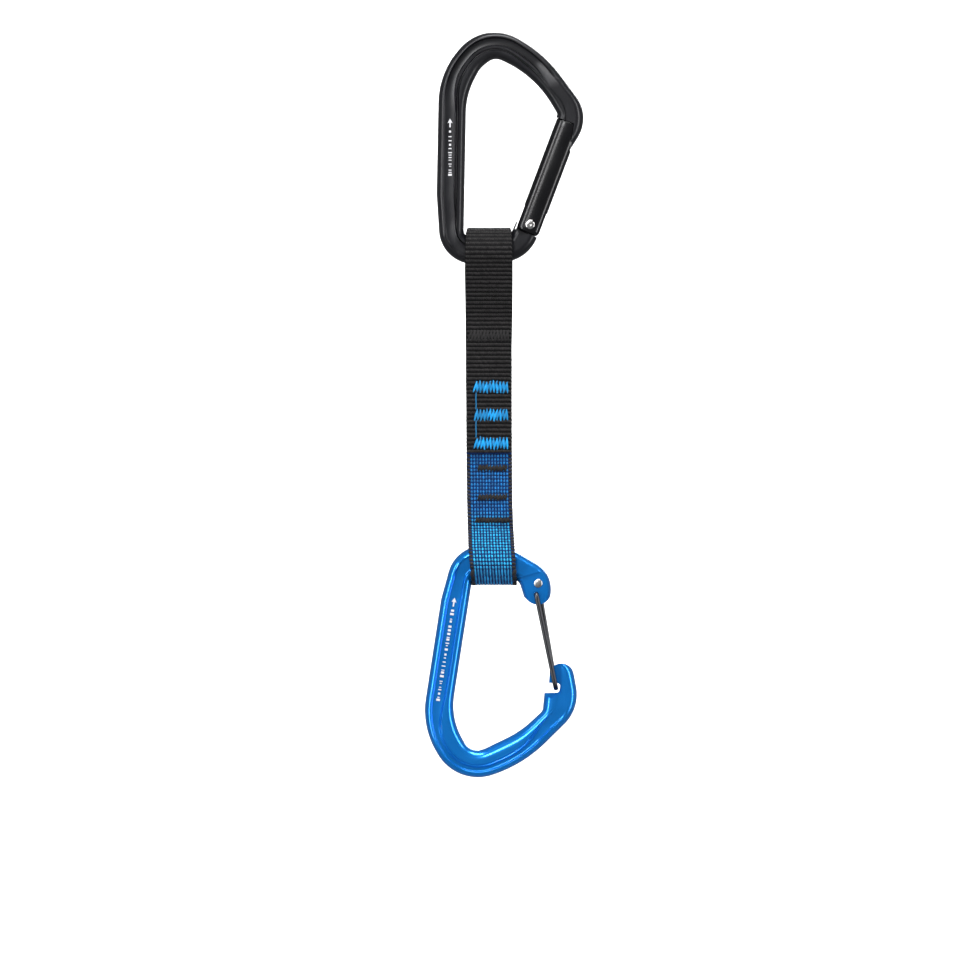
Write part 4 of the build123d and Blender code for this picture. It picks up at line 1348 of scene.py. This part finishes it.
class QUICKDRAW_OT_wire_gate(bpy.types.Operator):
    """Bend the wire gate and peen its two ends"""

    bl_idname = "quickdraw.wire_gate"
    bl_label = "Wire gate"

    def execute(self, context):
        settings = context.scene.quickdraw_metal
        front, back, end = on_rope(FRONT_PIVOT), on_rope(BACK_PIVOT), on_rope(WIRE_END)
        corners = [
            (front.x, 3.86, front.y), (front.x, -5.15, front.y), (end.x, -3.95, end.y),
            (end.x, 3.95, end.y), (back.x, 5.15, back.y), (back.x, -3.86, back.y),
        ]
        wire = tube("wire", rounded_path(corners, (1.3, 3.0, 3.0, 1.3)), 1.05, 18)
        heads = []
        for at, side in ((front, 1), (back, -1)):
            profile = [(0.0, 1.55), (0.0, 1.75), (0.18, 1.8), (0.36, 1.6), (0.47, 1.1), (0.5, 0.5), (0.5, 0.05)]
            heads.append(turned_piece("head", (at.x, side * 3.86, at.y), (0, side, 0), profile, 28))
        heads = join("wire_gate_heads", heads)
        soften(heads, 40)
        painted(heads, metal("peened steel", (0.5, 0.5, 0.5), (0.3, 0.3, 0.3), 0.25, scratches=0.4))
        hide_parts("rope_wire_gate")
        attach(heads, "rope_carabiner")
        gate = wire
        gate.name = "wire_gate"
        soften(gate, 45)
        colour = tuple(settings.wire_colour)
        painted(gate, metal("blackened steel wire", colour, (0.14, 0.14, 0.15), 0.28, scratches=0.5, grain_scale=4000.0))
        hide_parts("rope_wire_gate")
        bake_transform(gate)
        return {"FINISHED"}


class QUICKDRAW_OT_webbing(bpy.types.Operator):
    """Weave the sling: ground strip, black ribs on one side, blue floats on the other"""

    bl_idname = "quickdraw.webbing"
    bl_label = "Webbing"

    def execute(self, context):
        settings = context.scene.quickdraw_webbing
        points = sling_line()
        line = Path(points)
        black = yarn_material("black yarn", (0.0012, 0.001, 0.001), tuple(settings.black_yarn))
        light = tuple(settings.blue_yarn)
        # The blue yarn's height ramp paints a highlight band round the lower fold, with the floats painted darker
        # above and below it.
        blue = yarn_material(
            "blue yarn", tuple(c * 0.3 for c in light), light, low=-0.229, high=-0.165, rough=0.5
        )
        strip = strip_mesh("webbing", points, 1.35)
        # The blue side's ground colour is kept far darker than the blue yarn, as painted shade in the gaps between the
        # floats.
        painted(strip, ground_material("webbing ground", (0.001, 0.001, 0.0013), (0.0, 0.03, 0.15)))

        cover = line.nearest(Vector((0.0, BACK_END)))
        crossing = line.nearest(Vector((0.0, FRONT_END)))
        bend = line.nearest(Vector((-LOWER_FOLD, ROPE_BAR_Z - 3.0)))
        fold = line.nearest(Vector((LOWER_FOLD, ROPE_BAR_Z)))
        pieces = []
        rib = settings.rib_pitch / MM
        pieces.append(lay_yarns(
            "black ribs", points, black, Columns=26, Rows=int((cover - 1.2) / rib), Row_Width=0.0187, Start=0.6 * MM,
            Length=(cover - 1.2) * MM, Float_Width=0.86 * MM, Float_Length=1.42 * MM, Float_Height=0.62 * MM,
            Lift=0.55 * MM, Side=1.0, Tilt=0.5, Unevenness=0.05, Seed=3,
        ))
        pitch = settings.float_pitch / MM
        runs = [
            (crossing + 0.6, bend, pitch, 0.86, 1.3, 5), (bend, fold + 6.0, 3.2, 0.72, 3.9, 6),
            (fold + 6.0, line.total - 0.6, pitch, 0.86, 1.3, 7),
        ]
        for start, stop, gap, wide, tall, seed in runs:
            rows = max(2, int((stop - start) / gap))
            shared = dict(
                Rows=rows, Start=(start + gap / 2) * MM, Length=(stop - start - gap) * MM, Float_Length=tall * MM,
                Float_Height=0.5 * MM, Lift=0.55 * MM, Side=-1.0, Unevenness=0.05,
            )
            pieces.append(lay_yarns(
                "blue floats", points, blue, Columns=settings.columns, Row_Width=0.0158, Float_Width=wide * 1.2 * MM,
                Zigzag=0.12 if gap < 2.0 else 0.03, Seed=seed, **shared,
            ))
            pieces.append(lay_yarns(
                "selvage", points, black, Columns=2, Row_Width=0.0184, Float_Width=2.1 * MM, Tilt=0.3,
                Seed=seed + 20, **shared,
            ))
        yarns = gather("webbing_yarns", pieces)
        for piece in (strip, yarns):
            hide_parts("sling_webbing")
            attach(piece, "sling")
        painted(frame["nodes"]["rope_end_keeper"], rubber_material("keeper rubber", (0.012, 0.012, 0.013)))
        return {"FINISHED"}


class QUICKDRAW_OT_bar_tacks(bpy.types.Operator):
    """Sew the bar tacks, front and back, and the thread carried between the blue ones"""

    bl_idname = "quickdraw.bar_tacks"
    bl_label = "Bar tacks"

    def execute(self, context):
        settings = context.scene.quickdraw_webbing
        black = yarn_material("black thread", (0.001, 0.001, 0.0015), (0.011, 0.010, 0.0105), rough=0.6)
        light = tuple(settings.blue_thread)
        blue = yarn_material("blue thread", tuple(c * 0.25 for c in light), light, rough=0.4)
        rows = [
            (-118.8, 5.2, -11.2, 5.2, black), (-140.8, 5.4, -8.9, 4.8, blue), (-152.8, 5.4, -8.6, 4.7, blue),
            (-164.9, 5.4, -8.7, 4.8, blue), (-175.6, 3.0, -7.3, 4.3, black), (-188.1, 3.0, -7.3, 4.3, black),
            (-198.0, 2.6, -8.4, 5.4, black),
        ]
        for number, (height, tall, left, right, thread) in enumerate(rows, start=1):
            front = 2.62 if height > FRONT_END else 0.88
            back = 2.62 if height < BACK_END else 0.88
            width = right - left
            strokes = []
            for side, depth, seed in ((-1, front, 1), (1, back, 2)):
                line = [Vector((side * depth, height - tall / 2 - 1)), Vector((side * depth, height + tall / 2 + 1))]
                edge_left, edge_right = web_edges(height)
                share = 9.95 / ((edge_right - edge_left) / 2)
                laid = lay_yarns(
                    f"tack {number}", line, thread, Columns=int(width / 0.66), Rows=1,
                    Row_Width=width * share * MM, Start=1.0 * MM, Length=tall * MM, Float_Width=1.0 * MM,
                    Float_Length=tall * 0.98 * MM, Float_Height=0.5 * MM, Lift=0.05 * MM,
                    Side=1.0 if side < 0 else -1.0, Zigzag=0.2, Tilt=-0.14, Unevenness=0.06, Seed=number * 10 + seed,
                    Nominal_Half=9.95 * MM,
                )
                shift = (left + right) / 2 - (edge_left + edge_right) / 2
                for vertex in laid.data.vertices:
                    vertex.co.x += shift * MM
                strokes.append(laid)
            tack = gather(f"tack_{number}_stitches", strokes)
            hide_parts(f"bar_tack_{number}")
            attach(tack, "sling")
        carried = []
        for top, bottom in ((-143.2, -150.4), (-155.2, -162.5)):
            carried.append([
                (-8.5, -2.7, top), (-8.62, -2.95, top - 2.4),
                (-8.5, -2.95, bottom + 2.2), (-8.6, -2.7, bottom),
            ])
        threads = join("carried_thread", [tube("carried_thread", run, 0.24, 8) for run in carried])
        painted(threads, blue)
        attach(threads, "sling")
        return {"FINISHED"}


# The stage, in metres. The wall stands far enough back for a camera walking round
# the object to stay in front of it.
WALL_Y = 5.0
WALL_TOP = 3.5
FLOOR_Z = -0.75
FLOOR_FRONT = -6.0
STAGE_HALF = 4.0
COVE = 0.9
COVE_STEPS = 12
CAMERA_AWAY = 4.0
FRAME_SIDE = 0.4171
SENSOR = 36.0
OBJECT_MIDDLE = (-0.0047, 0.0, -0.1831)


class QUICKDRAW_OT_studio(bpy.types.Operator):
    """Set the floor, backdrop, lights and camera"""

    bl_idname = "quickdraw.studio"
    bl_label = "Studio"

    def execute(self, context):
        scene = context.scene
        scene.view_settings.view_transform = "Standard"
        verts, faces = [], []
        profile = [(FLOOR_FRONT, FLOOR_Z), (WALL_Y - COVE, FLOOR_Z)]
        for k in range(1, COVE_STEPS + 1):
            rise = math.pi / 2 * k / COVE_STEPS
            profile.append((WALL_Y - COVE * (1 - math.sin(rise)), FLOOR_Z + COVE * (1 - math.cos(rise))))
        profile.append((WALL_Y, WALL_TOP))
        for y, z in profile:
            verts += [(-STAGE_HALF / MM, y / MM, z / MM), (STAGE_HALF / MM, y / MM, z / MM)]
        for i in range(len(profile) - 1):
            faces.append((2 * i, 2 * i + 1, 2 * i + 3, 2 * i + 2))
        floor = mesh_object("floor_and_backdrop", verts, faces, 80)
        material, kit, shader = new_material("pale paper")
        fine = kit.add("ShaderNodeGroup", node_tree=grain())
        fine.inputs["Scale"].default_value = 40.0
        paper = blend_colours(kit, fine.outputs["Value"], (0.86, 0.86, 0.865), (0.88, 0.88, 0.885))
        kit.link(paper, shader.inputs["Base Color"])
        shader.inputs["Roughness"].default_value = 0.9
        painted(floor, material)
        floor.visible_glossy = False

        world = bpy.data.worlds.new("studio air")
        world.use_nodes = True
        world.node_tree.nodes["Background"].inputs["Color"].default_value = (0.95, 0.97, 1.0, 1.0)
        world.node_tree.nodes["Background"].inputs["Strength"].default_value = 0.22
        scene.world = world

        target = Vector(OBJECT_MIDDLE)
        lamps = [
            ("backdrop wash", (0.0, WALL_Y - 1.7, 1.7), (0.0, WALL_Y, -0.2), 3.0, 1.2, 150.0),
            ("back fill", (0.5, 2.2, 0.9), target, 1.2, 1.2, 34.0),
            ("left strip", (-0.95, -0.85, 0.0), target, 0.2, 1.4, 12.0),
            ("right strip", (1.05, -0.45, -0.05), target, 0.22, 1.4, 10.0),
            ("overhead", (0.1, -0.55, 1.1), target, 1.0, 0.5, 26.0),
            ("front fill", (-0.6, -2.4, 0.7), target, 0.5, 0.8, 22.0),
        ]
        for name, place, aim, wide, tall, power in lamps:
            data = bpy.data.lights.new(name, "AREA")
            data.shape = "RECTANGLE"
            data.size, data.size_y, data.energy = wide, tall, power
            lamp = bpy.data.objects.new(name, data)
            lamp.location = place
            lamp.rotation_euler = (Vector(aim) - Vector(place)).to_track_quat("-Z", "Y").to_euler()
            scene.collection.objects.link(lamp)

        view = bpy.data.cameras.new("front camera")
        view.sensor_width = SENSOR
        view.lens = SENSOR * CAMERA_AWAY / FRAME_SIDE
        camera = bpy.data.objects.new("front camera", view)
        camera.location = target + Vector((0.0, -CAMERA_AWAY, 0.0))
        camera.rotation_euler = (math.pi / 2, 0.0, 0.0)
        view.clip_end = 20.0
        scene.collection.objects.link(camera)
        scene.camera = camera
        return {"FINISHED"}


class QUICKDRAW_PT_panel(bpy.types.Panel):
    """Sidebar panel with the pieces of the quickdraw"""

    bl_label = "Climbing quickdraw"
    bl_idname = "QUICKDRAW_PT_panel"
    bl_space_type = "VIEW_3D"
    bl_region_type = "UI"
    bl_category = "Quickdraw"

    def draw(self, context):
        layout = self.layout
        metal_box = layout.box()
        metal_box.label(text="Metal")
        for name in QuickdrawMetalSettings.__annotations__:
            metal_box.prop(context.scene.quickdraw_metal, name)
        webbing_box = layout.box()
        webbing_box.label(text="Webbing")
        for name in QuickdrawWebbingSettings.__annotations__:
            webbing_box.prop(context.scene.quickdraw_webbing, name)
        for operator in PIECES:
            layout.operator(operator.bl_idname)


PIECES = (
    QUICKDRAW_OT_bolt_carabiner,
    QUICKDRAW_OT_bolt_gate,
    QUICKDRAW_OT_rope_carabiner,
    QUICKDRAW_OT_wire_gate,
    QUICKDRAW_OT_webbing,
    QUICKDRAW_OT_bar_tacks,
    QUICKDRAW_OT_studio,
)
CLASSES = (QuickdrawMetalSettings, QuickdrawWebbingSettings, *PIECES, QUICKDRAW_PT_panel)


def register():
    """Add the settings, operators and panel."""
    for item in CLASSES:
        bpy.utils.register_class(item)
    bpy.types.Scene.quickdraw_metal = bpy.props.PointerProperty(type=QuickdrawMetalSettings)
    bpy.types.Scene.quickdraw_webbing = bpy.props.PointerProperty(type=QuickdrawWebbingSettings)


def unregister():
    """Take them away again."""
    del bpy.types.Scene.quickdraw_webbing
    del bpy.types.Scene.quickdraw_metal
    for item in reversed(CLASSES):
        bpy.utils.unregister_class(item)


def main():
    """Build every piece in order."""
    register()
    bpy.ops.quickdraw.bolt_carabiner()
    bpy.ops.quickdraw.bolt_gate()
    bpy.ops.quickdraw.rope_carabiner()
    bpy.ops.quickdraw.wire_gate()
    bpy.ops.quickdraw.webbing()
    bpy.ops.quickdraw.bar_tacks()
    bpy.ops.quickdraw.studio()
    bpy.context.view_layer.update()


if __name__ == "__main__":
    main()
